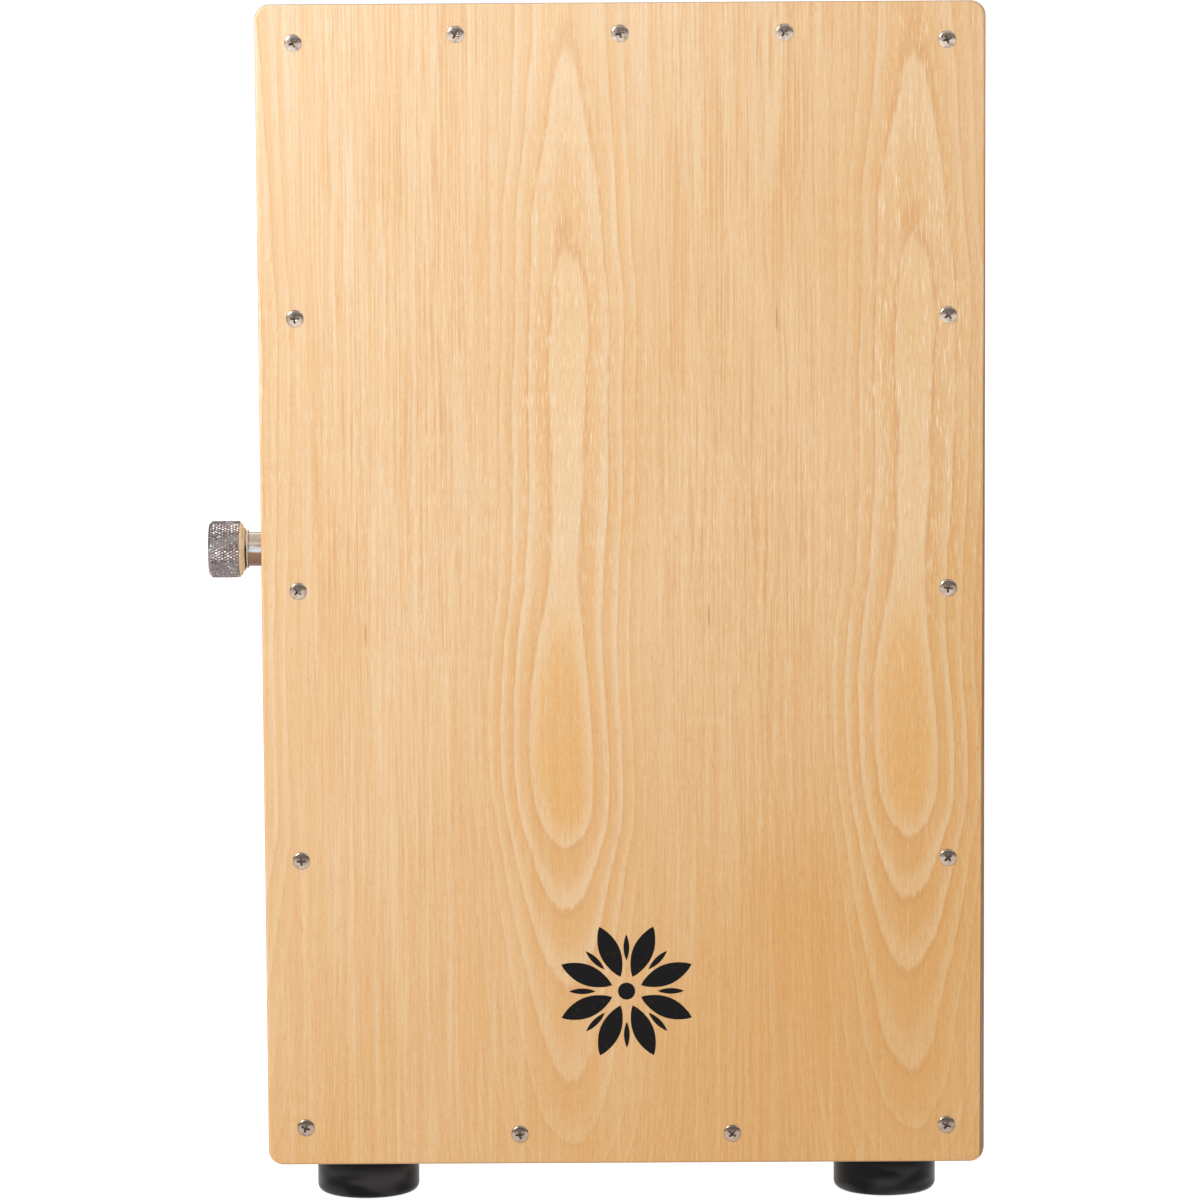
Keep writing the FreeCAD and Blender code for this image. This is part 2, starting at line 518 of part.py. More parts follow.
def make_snares():
    """Two fans of coiled strands, each clamped to a plate that is screwed to the bar's flat."""
    plate_out = BAR_FLAT + PLATE_THICKNESS
    strand_out = plate_out + STRAND_RADIUS
    clamp_low = plate_out + 2 * STRAND_RADIUS
    for side, sign in (("left", -1), ("right", 1)):
        middle = sign * SNARE_X

        def span(half):
            return (middle - half, middle + half)

        plate = bar_block(span(PLATE_HALF), (-PLATE_RISE, PLATE_RISE), (BAR_FLAT, plate_out))
        for offset in (-SNARE_SCREW_OFFSET, SNARE_SCREW_OFFSET):
            x = middle + offset
            plate = plate.cut(rod(SNARE_SCREW_RADIUS + GAP, on_bar(x, 0, 0), on_bar(x, 0, 20)))
        save(f"snare_plate_{side}", plate)

        strands = []
        for i in range(STRANDS):
            x = middle + (i - (STRANDS - 1) / 2) * STRAND_PITCH
            low_end, high_end = (on_bar(x, z, strand_out) for z in (STRAND_LOW, STRAND_HIGH))
            strands.append(rod(STRAND_RADIUS, low_end, high_end))
        save(f"snare_strands_{side}", *strands)

        save(f"snare_clamp_{side}", bar_block(span(CLAMP_HALF), (-CLAMP_RISE, CLAMP_RISE),
                                              (clamp_low, clamp_low + CLAMP_THICKNESS)))
        save(f"snare_felt_{side}", bar_block(span(FELT_HALF), (FELT_LOW, FELT_HIGH),
                                             (plate_out - FELT_THICKNESS, plate_out)))
    screws = [pan_screw(p, INTO_BAR, SNARE_SCREW_RADIUS, SNARE_SCREW_LENGTH, 2.6, 1.9)
              for p in snare_screw_places()]
    save("snare_screws", *screws)


def main():
    os.makedirs("parts", exist_ok=True)
    make_shell_panels()
    make_face_and_back()
    make_battens()
    make_glue_blocks()
    make_panel_screws()
    make_feet()
    make_knob()
    make_spindle()
    make_bushing()
    make_friction_stack()
    make_snare_bar()
    make_pivot()
    make_snares()


main()
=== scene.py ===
import itertools
import json
import math
import random

import bmesh
import bpy
from mathutils import Matrix, Vector


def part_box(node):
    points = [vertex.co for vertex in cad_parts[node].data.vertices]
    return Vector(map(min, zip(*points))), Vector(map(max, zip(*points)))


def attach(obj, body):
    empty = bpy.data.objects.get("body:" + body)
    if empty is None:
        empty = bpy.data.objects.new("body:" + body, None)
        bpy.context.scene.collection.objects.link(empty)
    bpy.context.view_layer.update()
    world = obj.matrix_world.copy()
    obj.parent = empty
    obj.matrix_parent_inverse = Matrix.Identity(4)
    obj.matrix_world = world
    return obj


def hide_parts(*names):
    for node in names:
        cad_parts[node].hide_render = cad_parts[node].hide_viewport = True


# The looks of a cajon: ash-veneered plywood box, thin playing face screwed on, black rubber feet,
# a knurled steel snare knob and, inside, the snare bar with its coiled wires.

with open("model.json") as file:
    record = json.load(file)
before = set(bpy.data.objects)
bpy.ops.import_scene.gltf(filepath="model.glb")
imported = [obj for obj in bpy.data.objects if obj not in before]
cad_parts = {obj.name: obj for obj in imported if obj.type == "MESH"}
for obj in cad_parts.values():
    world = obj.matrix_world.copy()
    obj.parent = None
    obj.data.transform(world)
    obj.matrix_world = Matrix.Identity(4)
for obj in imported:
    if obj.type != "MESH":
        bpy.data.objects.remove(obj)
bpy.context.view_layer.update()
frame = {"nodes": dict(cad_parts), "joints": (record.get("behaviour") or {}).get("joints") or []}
NODES = frame["nodes"]

SCENE = bpy.context.scene
CASE, SNARE = "case", "snare_assembly"
MM = 0.001
X_AXIS, Y_AXIS, Z_AXIS = Vector((1, 0, 0)), Vector((0, 1, 0)), Vector((0, 0, 1))

FACE_LOW, FACE_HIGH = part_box("playing_face")
BACK_LOW, BACK_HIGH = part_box("back_panel")
TURN_AXIS = Vector(frame["joints"][0]["pos_m"])


# ---- Shader helpers


def srgb(red, green, blue):
    """A colour given as it looks on screen (0 to 255), as the linear values that shaders take."""
    def linear(value):
        value /= 255
        return value / 12.92 if value <= 0.04045 else ((value + 0.055) / 1.055) ** 2.4
    return linear(red), linear(green), linear(blue), 1


def fill_ramp(node, stops):
    """Sets a colour ramp's stops from (position, colour) pairs; a plain number is a grey."""
    elements = node.color_ramp.elements
    while len(elements) < len(stops):
        elements.new(0.5)
    for element, (position, colour) in zip(elements, stops):
        element.position = position
        element.color = colour if isinstance(colour, tuple) else (colour, colour, colour, 1)


class Shader:
    """A material's node tree, with a short way to add each kind of node that is used here."""

    def __init__(self, name):
        self.material = bpy.data.materials.new(name)
        self.material.use_nodes = True
        self.tree = self.material.node_tree
        self.bsdf = self.tree.nodes["Principled BSDF"]
        scaled = self.add("VectorMath", operation="SCALE")
        scaled.inputs["Scale"].default_value = 1 / MM
        place = self.feed(scaled, self.add("TexCoord").outputs["Object"])
        axes = self.add("SeparateXYZ")
        self.feed(axes, place)
        self.x, self.y, self.z = axes.outputs  # the point on the surface, in millimetres

    def add(self, kind, **settings):
        node = self.tree.nodes.new("ShaderNode" + kind)
        for key, value in settings.items():
            setattr(node, key, value)
        return node

    def put(self, socket, value):
        """Feeds a socket from another socket, or sets it to a number or colour."""
        if isinstance(value, bpy.types.NodeSocket):
            self.tree.links.new(value, socket)
        else:
            socket.default_value = value

    def feed(self, node, *values):
        """Feeds a node's first inputs, and returns its first output."""
        for socket, value in zip(node.inputs, values):
            self.put(socket, value)
        return node.outputs[0]

    def math(self, operation, *values, clamp=False):
        return self.feed(self.add("Math", operation=operation, use_clamp=clamp), *values)

    def times(self, a, b):
        return self.math("MULTIPLY", a, b)

    def plus(self, a, b):
        return self.math("ADD", a, b)

    def minus(self, a, b):
        return self.math("SUBTRACT", a, b)

    def swing(self, noise, size):
        """A noise as a number that swings about 0, by this much for a whole unit of noise."""
        return self.times(self.minus(noise, 0.5), size)

    def vector(self, x, y, z):
        return self.feed(self.add("CombineXYZ"), x, y, z)

    def noise(self, x, y, z, detail=2, roughness=0.5):
        """Noise from 0 to 1 at a point whose coordinates are already in units of its grain."""
        node = self.add("TexNoise", noise_dimensions="3D")
        self.put(node.inputs["Vector"], self.vector(x, y, z))
        for key, number in (("Scale", 1), ("Detail", detail), ("Roughness", roughness)):
            node.inputs[key].default_value = number
        return node.outputs["Fac"]

    def grain(self, x, y=None, z=None, **settings):
        """Noise that changes this many times a millimetre along each axis, or along all of them."""
        y, z = y or x, z or x
        return self.noise(self.times(self.x, x), self.times(self.y, y), self.times(self.z, z), **settings)

    def chance(self, number):
        """One random value from 0 to 1 for each whole number."""
        node = self.add("TexWhiteNoise", noise_dimensions="1D")
        self.put(node.inputs["W"], number)
        return node.outputs["Value"]

    def spread(self, value, low, high, to_low=0, to_high=1, smooth=True):
        """Maps low..high to to_low..to_high and holds the ends."""
        kind = "SMOOTHSTEP" if smooth else "LINEAR"
        node = self.add("MapRange", clamp=True, interpolation_type=kind)
        return self.feed(node, value, low, high, to_low, to_high)

    def ramp(self, factor, *stops):
        """A colour, or a grey number, that follows the ramp's (position, colour) stops."""
        node = self.add("ValToRGB")
        fill_ramp(node, stops)
        return self.feed(node, factor)

    def curve(self, value, *points):
        """A smooth curve through (input, output) points, all from 0 to 1."""
        node = self.add("FloatCurve")
        line = node.mapping.curves[0]
        while len(line.points) < len(points):
            line.points.new(0.5, 0.5)
        for point, place in zip(line.points, points):
            point.location = place
        node.mapping.update()
        self.put(node.inputs["Value"], value)
        return node.outputs["Value"]

    def mix(self, factor, a, b):
        node = self.add("Mix", data_type="RGBA", clamp_factor=True)
        self.put(node.inputs["Factor"], factor)
        self.put(node.inputs[6], a)
        self.put(node.inputs[7], b)
        return node.outputs[2]

    def finish(self, colour, roughness, height=None, depth=0, **fixed):
        """Connects a surface's colour, roughness and bump (depth in millimetres), and sets fixed numbers."""
        self.put(self.bsdf.inputs["Base Color"], colour)
        self.put(self.bsdf.inputs["Roughness"], roughness)
        for key, value in fixed.items():
            self.bsdf.inputs[key.replace("_", " ")].default_value = value
        if height is not None:
            bump = self.add("Bump")
            bump.inputs["Distance"].default_value = depth * MM
            self.put(bump.inputs["Height"], height)
            self.put(self.bsdf.inputs["Normal"], bump.outputs["Normal"])
        return self.material


# ---- Wood

# the wood's ribbon, pale, plain, tan and dark colours, at its palest, where the painted sheen is strongest,
# and at its yellowest
ASH = (srgb(218, 203, 180), srgb(212, 191, 162), srgb(208, 179, 144), srgb(206, 171, 127),
       srgb(198, 156, 112))
HONEY = (srgb(208, 178, 141), srgb(199, 161, 109), srgb(195, 149, 91), srgb(193, 141, 75),
         srgb(181, 124, 62))
CORE = {"high": srgb(208, 174, 124), "low": srgb(204, 155, 88)}
FLECK = srgb(222, 203, 172)
GUM = srgb(160, 96, 52)
PLY_CORE = srgb(158, 114, 71)
PLY_LIGHT = srgb(196, 154, 106)
GLUE_LINE = srgb(96, 64, 38)
SHADED_EDGE_WOOD = srgb(136, 94, 56)
PLANED_TOP, PLANED_BOTTOM = 0.3, 2.1  # the width of the face's planed right edge

GUM_MARKS = ((35.5, 231), (-107, 224), (64, 354))  # across and up the face, in millimetres

LEAF_WIDTH = 143  # each veneer leaf, laid side by side with the same figure
LEAF_LENGTH = 484
VENEER = 0.55  # its thickness
RING = 3.5  # from one growth ring to the next
OVALS_ACROSS = -22  # the middle of the face's first column of ovals
HEART = 30  # how far from the tree's middle the ring of the innermost oval lies
HEART_DEPTH_UNIT = 50
HEART_DEPTH = (  # how deep the tree's middle lies under the slice, in that unit, up the leaf
    (0, 0.9), (0.07, 0.81), (0.157, 0.74), (0.22, 0.67), (0.276, 0.6), (0.3, 0.565), (0.33, 0.545),
    (0.4, 0.546), (0.45, 0.566), (0.51, 0.586), (0.6, 0.584), (0.76, 0.587), (0.79, 0.6),
    (0.82, 0.607), (0.886, 0.642), (0.96, 0.67), (1, 0.68),
)


class Figure:
    """Plain-sliced ash at a point: its place on its veneer leaf, and the growth rings there.

    The slice passes the tree's middle at a depth that changes along the board, so the growth
    rings cut it in nested ovals, and in straight lines further out."""

    def __init__(self, s, across, along, leaf_start, seed):
        count = s.math("DIVIDE", s.minus(across, leaf_start), LEAF_WIDTH)
        leaf = s.math("FLOOR", count)
        self.s, self.across, self.along, self.seed = s, across, along, seed
        self.u = s.times(s.minus(s.minus(count, leaf), 0.5), LEAF_WIDTH)  # from the leaf's middle
        self.v = s.plus(along, s.times(leaf, -5))  # along the leaf
        self.w = s.plus(s.times(leaf, 0.25), seed)  # shifts the noise from leaf to leaf
        wander = self.noise(0.07, 0.012, 7.3)
        self.drift = s.plus(self.u, s.swing(wander, 1.6))
        self.radius = self.distance_from_heart(wander)
        rings = self.rings_crossed()
        self.ring = s.math("FLOOR", rings)
        within = s.minus(rings, self.ring)
        self.early = s.ramp(within, (0, 0.5), (0.09, 0.9), (0.32, 0.62), (0.6, 0.06), (0.94, 0), (1, 0.5))
        self.late = s.ramp(within, (0, 0.25), (0.06, 0), (0.5, 0), (0.78, 0.85), (0.91, 1), (1, 0.25))
        self.line = s.ramp(within, (0, 0.7), (0.06, 0.55), (0.14, 0), (0.94, 0), (1, 0.7))
        self.faint = s.noise(s.times(across, 0.012), s.times(along, 0.006), s.plus(seed, 5.5))
        self.streak = self.noise(0.9, 0.009, 0, self.drift, detail=3, roughness=0.7)
        self.broken = self.noise(1.3, 0.07, 11.4)
        self.dash = self.noise(2.3, 0.14, 1.7, detail=3, roughness=0.7)
        honey = self.yellowness_and_sheen()
        self.ribbon, self.pale, self.plain, self.tan, self.dark = (
            s.mix(honey, ash, yellow) for ash, yellow in zip(ASH, HONEY))

    def noise(self, x, y, shift, across=None, **settings):
        """Noise that changes this many times a millimetre across and along the leaf."""
        s = self.s
        across = self.u if across is None else across
        return s.noise(s.times(across, x), s.times(self.v, y), s.plus(self.w, shift), **settings)

    def yellowness_and_sheen(self):
        """How yellow the wood is, which grows downwards and to the right; its paler upper left is a painted
        sheen, and its tone also changes at random.
        """
        s = self.s
        tone = s.noise(s.times(self.across, 0.014), s.times(self.along, 0.005), s.plus(self.seed, 2.6))
        # paler towards the upper left and yellower towards the lower right: a painted sheen
        honey = s.plus(s.spread(self.along, 470, 10, 0, 0.75, smooth=False),
                       s.spread(self.across, -150, 150, 0, 0.45, smooth=False))
        return s.plus(honey, s.spread(tone, 0.32, 0.68, -0.12, 0.12))

    def distance_from_heart(self, wander):
        s = self.s
        share = s.math("DIVIDE", self.v, LEAF_LENGTH, clamp=True)
        sway = self.noise(0.004, 0.012, 0, detail=1)
        tremble = self.noise(0.55, 0.05, 3.1, detail=3, roughness=0.6)
        bow = s.curve(share, (0, 0.4), (0.28, 0.4), (0.4, 1), (0.51, 0.45), (0.66, 0.05), (1, 0))
        side = s.plus(s.plus(self.u, s.times(bow, 4.8)), s.swing(sway, 5))
        depth = s.times(s.curve(share, *HEART_DEPTH), HEART_DEPTH_UNIT)
        radius = s.math("SQRT", s.plus(s.times(side, side), s.times(depth, depth)))
        return s.plus(s.plus(radius, s.swing(wander, 1.5)), s.swing(tremble, 0.6))

    def rings_crossed(self):
        """The rings out from the tree's middle, closer together further out and unevenly wide."""
        s = self.s
        rings = s.math("DIVIDE", s.minus(self.radius, HEART), RING)
        rings = s.plus(rings, s.times(s.math("MAXIMUM", s.minus(self.radius, 50), 0), 0.22))
        lean_years = s.noise(s.times(self.radius, 0.24), s.plus(self.w, 8.8), 0, detail=1)
        uneven = s.swing(lean_years, s.spread(self.radius, 38, 46, 0, 2.4))
        return s.plus(s.plus(rings, uneven), 5)


def ring_colours(s, f):
    """Tan early wood, pale late wood and a line between, in rings of uneven strength."""
    vigour = s.spread(s.chance(s.plus(f.ring, f.seed * 10)), 0, 1, 0.1, 0.6, smooth=False)
    near = s.spread(f.radius, 48, 36, 0, 0.65)
    vigour = s.plus(vigour, s.times(near, s.minus(1, vigour)))
    strength = s.times(vigour, s.spread(f.faint, 0.36, 0.58, 0.6, 1))
    colour = s.mix(s.times(f.early, strength), f.plain, f.tan)
    colour = s.mix(s.times(f.late, strength), colour, f.pale)
    colour = s.mix(s.times(f.line, s.times(strength, 0.8)), colour, f.dark)
    core = s.mix(s.spread(f.along, 330, 180), CORE["high"], CORE["low"])
    return s.mix(s.spread(f.radius, HEART + 0.2, HEART - 2, 0, 0.7), colour, core)


def add_streaks(s, f, colour):
    """Long streaks along the grain, bolder at the upper left and outside the ovals."""
    bold = s.plus(s.spread(f.across, 20, -60, 0.72, 1), s.spread(f.along, 300, 440, 0, 0.25))
    bold = s.times(bold, s.spread(f.radius, 38, 54, 0.55, 1))
    colour = s.mix(s.times(s.spread(f.streak, 0.5, 0.68), bold), colour, f.tan)
    colour = s.mix(s.times(s.spread(f.streak, 0.5, 0.32), bold), colour, f.pale)
    band = f.noise(0.3, 0.006, 12.6, roughness=0.6)
    colour = s.mix(s.times(s.spread(band, 0.5, 0.66, 0, 0.6), bold), colour, f.tan)
    return s.mix(s.times(s.spread(band, 0.5, 0.34, 0, 0.6), bold), colour, f.pale)


def add_ovals(s, f, colour):
    """The pale ribbons of the innermost rings, each edged with a broken dark line."""
    chance = s.chance(s.plus(f.ring, f.seed * 10 + 3))
    kept = s.times(s.spread(chance, 0, 1, 0.45, 1, smooth=False), s.spread(f.faint, 0.34, 0.56, 0.5, 1))
    ribbons = s.times(f.late, s.times(kept, s.spread(f.along, 380, 230, 0.35, 1)))
    colour = s.mix(s.times(ribbons, s.spread(f.radius, 43, 32, 0.05, 0.42)), colour, f.ribbon)
    between = s.times(f.early, s.times(kept, s.spread(f.radius, 44, 32, 0.05, 0.5)))
    colour = s.mix(between, colour, f.tan)
    border = s.times(s.times(f.line, s.spread(f.radius, 46, 32, 0.1, 1)), s.spread(f.broken, 0.34, 0.5))
    return s.mix(s.times(border, s.spread(f.along, 200, 330, 0.35, 1)), colour, f.dark)


def add_fibres(s, f, colour):
    """Fine lines away from the ovals, dark dashes, and the open pores."""
    fine = f.noise(1.45, 0.018, 6.2, f.drift, detail=1)
    straight = s.times(s.spread(f.radius, 38, 56, 0.2, 1), s.spread(f.along, 60, 300, 0.35, 1))
    lines = s.times(straight, s.spread(f.broken, 0.32, 0.56, 0.35, 1))
    colour = s.mix(s.times(s.spread(fine, 0.5, 0.66, 0, 0.7), lines), colour, f.dark)
    colour = s.mix(s.times(s.spread(fine, 0.5, 0.34, 0, 0.6), lines), colour, f.pale)
    colour = s.mix(s.spread(f.dash, 0.5, 0.74, 0, 0.65), colour, f.dark)
    pore = f.noise(2.8, 0.55, 2.2, roughness=0.7)
    colour = s.mix(s.spread(pore, 0.52, 0.74, 0, 0.45), colour, f.dark)
    return s.mix(s.spread(pore, 0.48, 0.28, 0, 0.4), colour, f.pale)


def add_flecks(s, f, colour):
    """Short pale flecks, in patches and along the innermost oval's rim."""
    fleck = f.noise(2.6, 0.12, 9.1, detail=1)
    patch = s.noise(s.times(f.across, 0.009), s.times(f.along, 0.006), s.plus(f.w, 4.4), detail=1)
    patch = s.times(s.spread(patch, 0.36, 0.6, 0.15, 0.4), s.spread(f.along, 120, 300, 0.45, 1))
    rim = s.times(s.spread(f.radius, HEART + 7, HEART + 2), s.spread(f.radius, HEART - 3, HEART))
    patch = s.plus(patch, s.times(rim, s.spread(f.along, 230, 340, 0, 0.5)))
    return s.mix(s.times(s.spread(fleck, 0.54, 0.76), patch), colour, FLECK)


def add_gum(s, f, colour, marks):
    """Small brown marks, long along the grain, each at a place across and up the panel."""
    for x, z in marks:
        reach = s.vector(s.times(s.minus(f.across, x), 1.6), s.times(s.minus(f.along, z), 0.13), 0)
        length = s.add("VectorMath", operation="LENGTH")
        s.feed(length, reach)
        ragged = s.plus(length.outputs["Value"], s.times(f.dash, 0.6))
        colour = s.mix(s.spread(ragged, 1.3, 0.6, 0, 0.55), colour, GUM)
    return colour


def ply_edge(s, colour, depth, thickness, plies):
    """Paints plywood's layers over a veneer's colour, by depth below the outer face."""
    inner = s.minus(depth, VENEER)
    layer = s.times(inner, plies / (thickness - 2 * VENEER))
    turn = s.math("FLOORED_MODULO", layer, 2)
    grain = s.grain(1.1, detail=3, roughness=0.65)
    sawn = s.mix(s.math("GREATER_THAN", turn, 1), PLY_CORE, PLY_LIGHT)
    sawn = s.mix(s.spread(grain, 0.35, 0.7, 0, 0.5), sawn, srgb(128, 88, 52))
    within = s.math("FRACT", layer)
    joint = s.math("MINIMUM", within, s.minus(1, within))
    sawn = s.mix(s.spread(joint, 0.02, 0.08, 0.75, 0), sawn, GLUE_LINE)
    below = s.math("GREATER_THAN", inner, 0)
    above = s.math("LESS_THAN", depth, thickness - VENEER)
    return s.mix(s.times(below, above), colour, sawn)


def painted_shade_edges(s, colour):
    """Painted shade on the face's edges: dark plywood end grain on its planed right edge, which widens
    downwards, and a painted shadow line along its bottom.
    """
    low, high, right = FACE_LOW.z / MM, FACE_HIGH.z / MM, FACE_HIGH.x / MM
    edge = s.spread(s.z, low, high, right - PLANED_BOTTOM, right - PLANED_TOP, smooth=False)
    grain = s.grain(2, 2, 0.15, detail=3)
    planed_edge_shade = s.mix(s.spread(grain, 0.35, 0.65), SHADED_EDGE_WOOD, PLY_CORE)
    # the planed right edge's end grain, darkened as painted shade
    colour = s.mix(s.spread(s.minus(s.x, edge), 0, 0.25), colour, planed_edge_shade)
    # a painted shadow line along the face's bottom edge
    return s.mix(s.spread(s.z, low + 0.9, low, 0, 0.8), colour, SHADED_EDGE_WOOD)


def veneered_panel(name, across, along, depth, thickness, plies, leaf_start, seed, gum=(), worn=False):
    """A veneered plywood material; across, along and depth are functions of the shader."""
    s = Shader(name)
    f = Figure(s, across(s), along(s), leaf_start, seed)
    colour = ring_colours(s, f)
    for layer in (add_streaks, add_ovals, add_fibres, add_flecks):
        colour = layer(s, f, colour)
    colour = ply_edge(s, add_gum(s, f, colour, gum), depth(s), thickness, plies)
    # worn paints shade on the face's planed right edge and a shadow line along its bottom
    if worn:
        colour = painted_shade_edges(s, colour)
    height = s.minus(s.times(f.streak, 0.4), s.plus(s.times(f.dash, 0.8), s.times(f.line, 0.2)))
    return s.finish(colour, s.spread(s.grain(0.02, detail=3), 0.3, 0.7, 0.4, 0.52), height, depth=0.06)


def make_panel_materials():
    front, rear = FACE_LOW.y / MM, BACK_HIGH.y / MM
    side, top = FACE_HIGH.x / MM, FACE_HIGH.z / MM
    bottom = FACE_LOW.z / MM
    face_thickness = (FACE_HIGH.y - FACE_LOW.y) / MM
    back_thickness = (BACK_HIGH.y - BACK_LOW.y) / MM
    side_low, side_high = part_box("left_side_panel")
    wall = (side_high.x - side_low.x) / MM
    first_leaf = OVALS_ACROSS - LEAF_WIDTH / 2

    def up(s):
        return s.minus(s.z, bottom)

    def over(s):
        return s.plus(s.times(s.x, 1.3), 230)

    # the playing face also gets painted shade along its right and bottom edges
    paint("playing_face", veneered_panel(
        "ash_face", lambda s: s.x, up, lambda s: s.minus(s.y, front), face_thickness, 3, first_leaf, 0,
        gum=GUM_MARKS, worn=True))
    paint("back_panel", veneered_panel(
        "ash_back", lambda s: s.times(s.x, -1), up, lambda s: s.minus(rear, s.y), back_thickness, 3, 15, 5))
    walls = (
        ("left_side_panel", "ash_left_side", up, lambda s: s.plus(s.x, side), 30, 9),
        ("right_side_panel", "ash_right_side", up, lambda s: s.minus(side, s.x), -45, 13),
        ("top_panel", "ash_top", over, lambda s: s.minus(top, s.z), 62, 17),
        ("bottom_panel", "ash_bottom", over, lambda s: s.minus(s.z, bottom), 10, 21),
    )
    for node, name, along, depth, leaf_start, seed in walls:
        paint(node, veneered_panel(name, lambda s: s.y, along, depth, wall, 7, leaf_start, seed))


def plain_wood(name, light, dark, pitch, axis, seed, roughness=0.6):
    """Sawn wood with straight grain along one axis, for the battens, blocks and bar."""
    s = Shader(name)
    along = {"x": s.x, "y": s.y, "z": s.z}
    across = [along[key] for key in "xyz" if key != axis]
    run = along[axis]
    bend = s.noise(s.times(run, 0.01), s.times(across[0], 0.03), seed)
    field = s.plus(s.times(across[0], 1 / pitch), s.times(across[1], 0.35 / pitch))
    field = s.plus(field, s.times(bend, 3))
    band = s.ramp(s.math("FRACT", field), (0, 0.1), (0.7, 0.35), (0.92, 1), (1, 0.1))
    fibre = s.noise(s.times(run, 0.06), s.times(across[0], 2.5), s.times(across[1], 2.5), detail=3,
                    roughness=0.65)
    colour = s.mix(s.times(band, 0.6), light, dark)
    colour = s.mix(s.spread(fibre, 0.4, 0.75, 0, 0.45), colour, dark)
    gloss = s.spread(fibre, 0.3, 0.7, roughness - 0.06, roughness + 0.1)
    return s.finish(colour, gloss, fibre, depth=0.12)


# ---- Metals, rubber and small parts


def metal(name, tint, smoothness, grain=(1, 1, 1), dirt=0.25):
    """Metal with fine machining marks: grain says how fast they change along each axis."""
    s = Shader(name)
    fine = s.grain(*(6 * step for step in grain), detail=3, roughness=0.65)
    cloud = s.grain(0.35, detail=3)
    shade = tuple(value * (1 - dirt) for value in tint[:3]) + (1,)
    colour = s.mix(s.spread(cloud, 0.42, 0.72), tint, shade)
    roughness = s.plus(s.spread(cloud, 0.3, 0.7, smoothness, smoothness + 0.1),
                       s.spread(fine, 0.35, 0.75, 0, 0.06))
    return s.finish(colour, roughness, fine, depth=0.002, Metallic=1)


def make_screw_nickel():
    """Nickel plating, with a painted reflection that makes it darker towards the floor."""
    s = Shader("screw_nickel")
    cloud = s.grain(0.35, detail=3)
    fine = s.grain(6, detail=3, roughness=0.65)
    # painted reflection: darker low down, paler high up
    tint = s.mix(s.spread(s.z, 40, 480, smooth=False), srgb(168, 151, 137), srgb(212, 196, 182))
    colour = s.mix(s.spread(cloud, 0.42, 0.72, 0, 0.7), tint, srgb(128, 112, 99))
    roughness = s.plus(s.spread(cloud, 0.3, 0.7, 0.16, 0.26), s.spread(fine, 0.35, 0.75, 0, 0.1))
    return s.finish(colour, roughness, fine, depth=0.004, Metallic=1)


def make_knob_steel():
    """Dull knurled steel with painted glints: bright specks scattered over its crests."""
    s = Shader("knob_steel")
    speck = s.grain(1.15, detail=1, roughness=0.6)
    spread = s.grain(0.13, 0.13, 0.16, detail=1)
    smear = s.grain(0.12, 0.9, 0.9, detail=3, roughness=0.6)
    colour = s.mix(s.spread(smear, 0.36, 0.66), srgb(146, 138, 138), srgb(112, 98, 96))
    # painted glints: bright, less metallic specks
    painted_glints = s.times(s.spread(speck, 0.58, 0.7), s.spread(spread, 0.36, 0.58, 0.3, 1))
    colour = s.mix(painted_glints, colour, srgb(198, 208, 212))
    s.put(s.bsdf.inputs["Metallic"], s.spread(painted_glints, 0, 1, 0.85, 0.4))
    return s.finish(colour, s.spread(speck, 0.3, 0.7, 0.42, 0.34), speck, depth=0.02)


def make_knob_hub():
    """The knob's bare turned end, next to the box."""
    s = Shader("knob_hub")
    cloud = s.grain(0.5, 0.3, 0.3)
    ridge = s.grain(5, 0.1, 0.1)
    colour = s.mix(s.spread(cloud, 0.35, 0.7), srgb(226, 220, 204), srgb(212, 201, 180))
    return s.finish(colour, s.spread(ridge, 0.3, 0.7, 0.26, 0.36), ridge, depth=0.01, Metallic=0.25)


def make_knob_groove():
    """The groove, with painted shade on its lower side and painted light above."""
    s = Shader("knob_groove")
    cloud = s.grain(0.5, 0.4, 0.4, detail=3)
    rise = s.plus(s.minus(s.z, TURN_AXIS.z / MM), s.spread(cloud, 0.3, 0.7, -0.8, 0.8))
    # painted shade below the axis, painted light above it
    colour = s.mix(s.spread(rise, 1, 5), srgb(52, 42, 36), srgb(206, 194, 170))
    return s.finish(colour, s.spread(cloud, 0.3, 0.7, 0.34, 0.5), cloud, depth=0.01, Metallic=0.25)


def make_barrel_chrome():
    """Bright plating with painted reflections by height: pale above, a painted highlight band just above the
    middle, and a painted brown reflection underneath.
    """
    s = Shader("barrel_chrome")
    reach = 7  # just under the barrel's radius
    rise = s.math("DIVIDE", s.minus(s.z, TURN_AXIS.z / MM), reach)
    cloud = s.grain(0.25, 0.5, 0.9, detail=3)
    rise = s.plus(rise, s.spread(cloud, 0.3, 0.7, -0.04, 0.04))
    share = s.spread(rise, -1, 1, smooth=False)
    # painted reflections: brown below, a painted highlight band, pale above
    colour = s.ramp(share, (0, srgb(110, 86, 68)), (0.43, srgb(130, 102, 80)), (0.5, srgb(198, 204, 212)),
                    (0.6, srgb(206, 214, 224)), (0.67, srgb(176, 158, 140)), (1, srgb(226, 212, 198)))
    fine = s.grain(0.9, 0.9, 6, detail=3)
    # the painted highlight band is less metallic, so it shows bright
    s.put(s.bsdf.inputs["Metallic"], s.ramp(share, (0.44, 1), (0.51, 0.4), (0.6, 0.35), (0.68, 0.7)))
    return s.finish(colour, s.spread(fine, 0.3, 0.7, 0.14, 0.2), fine, depth=0.001)


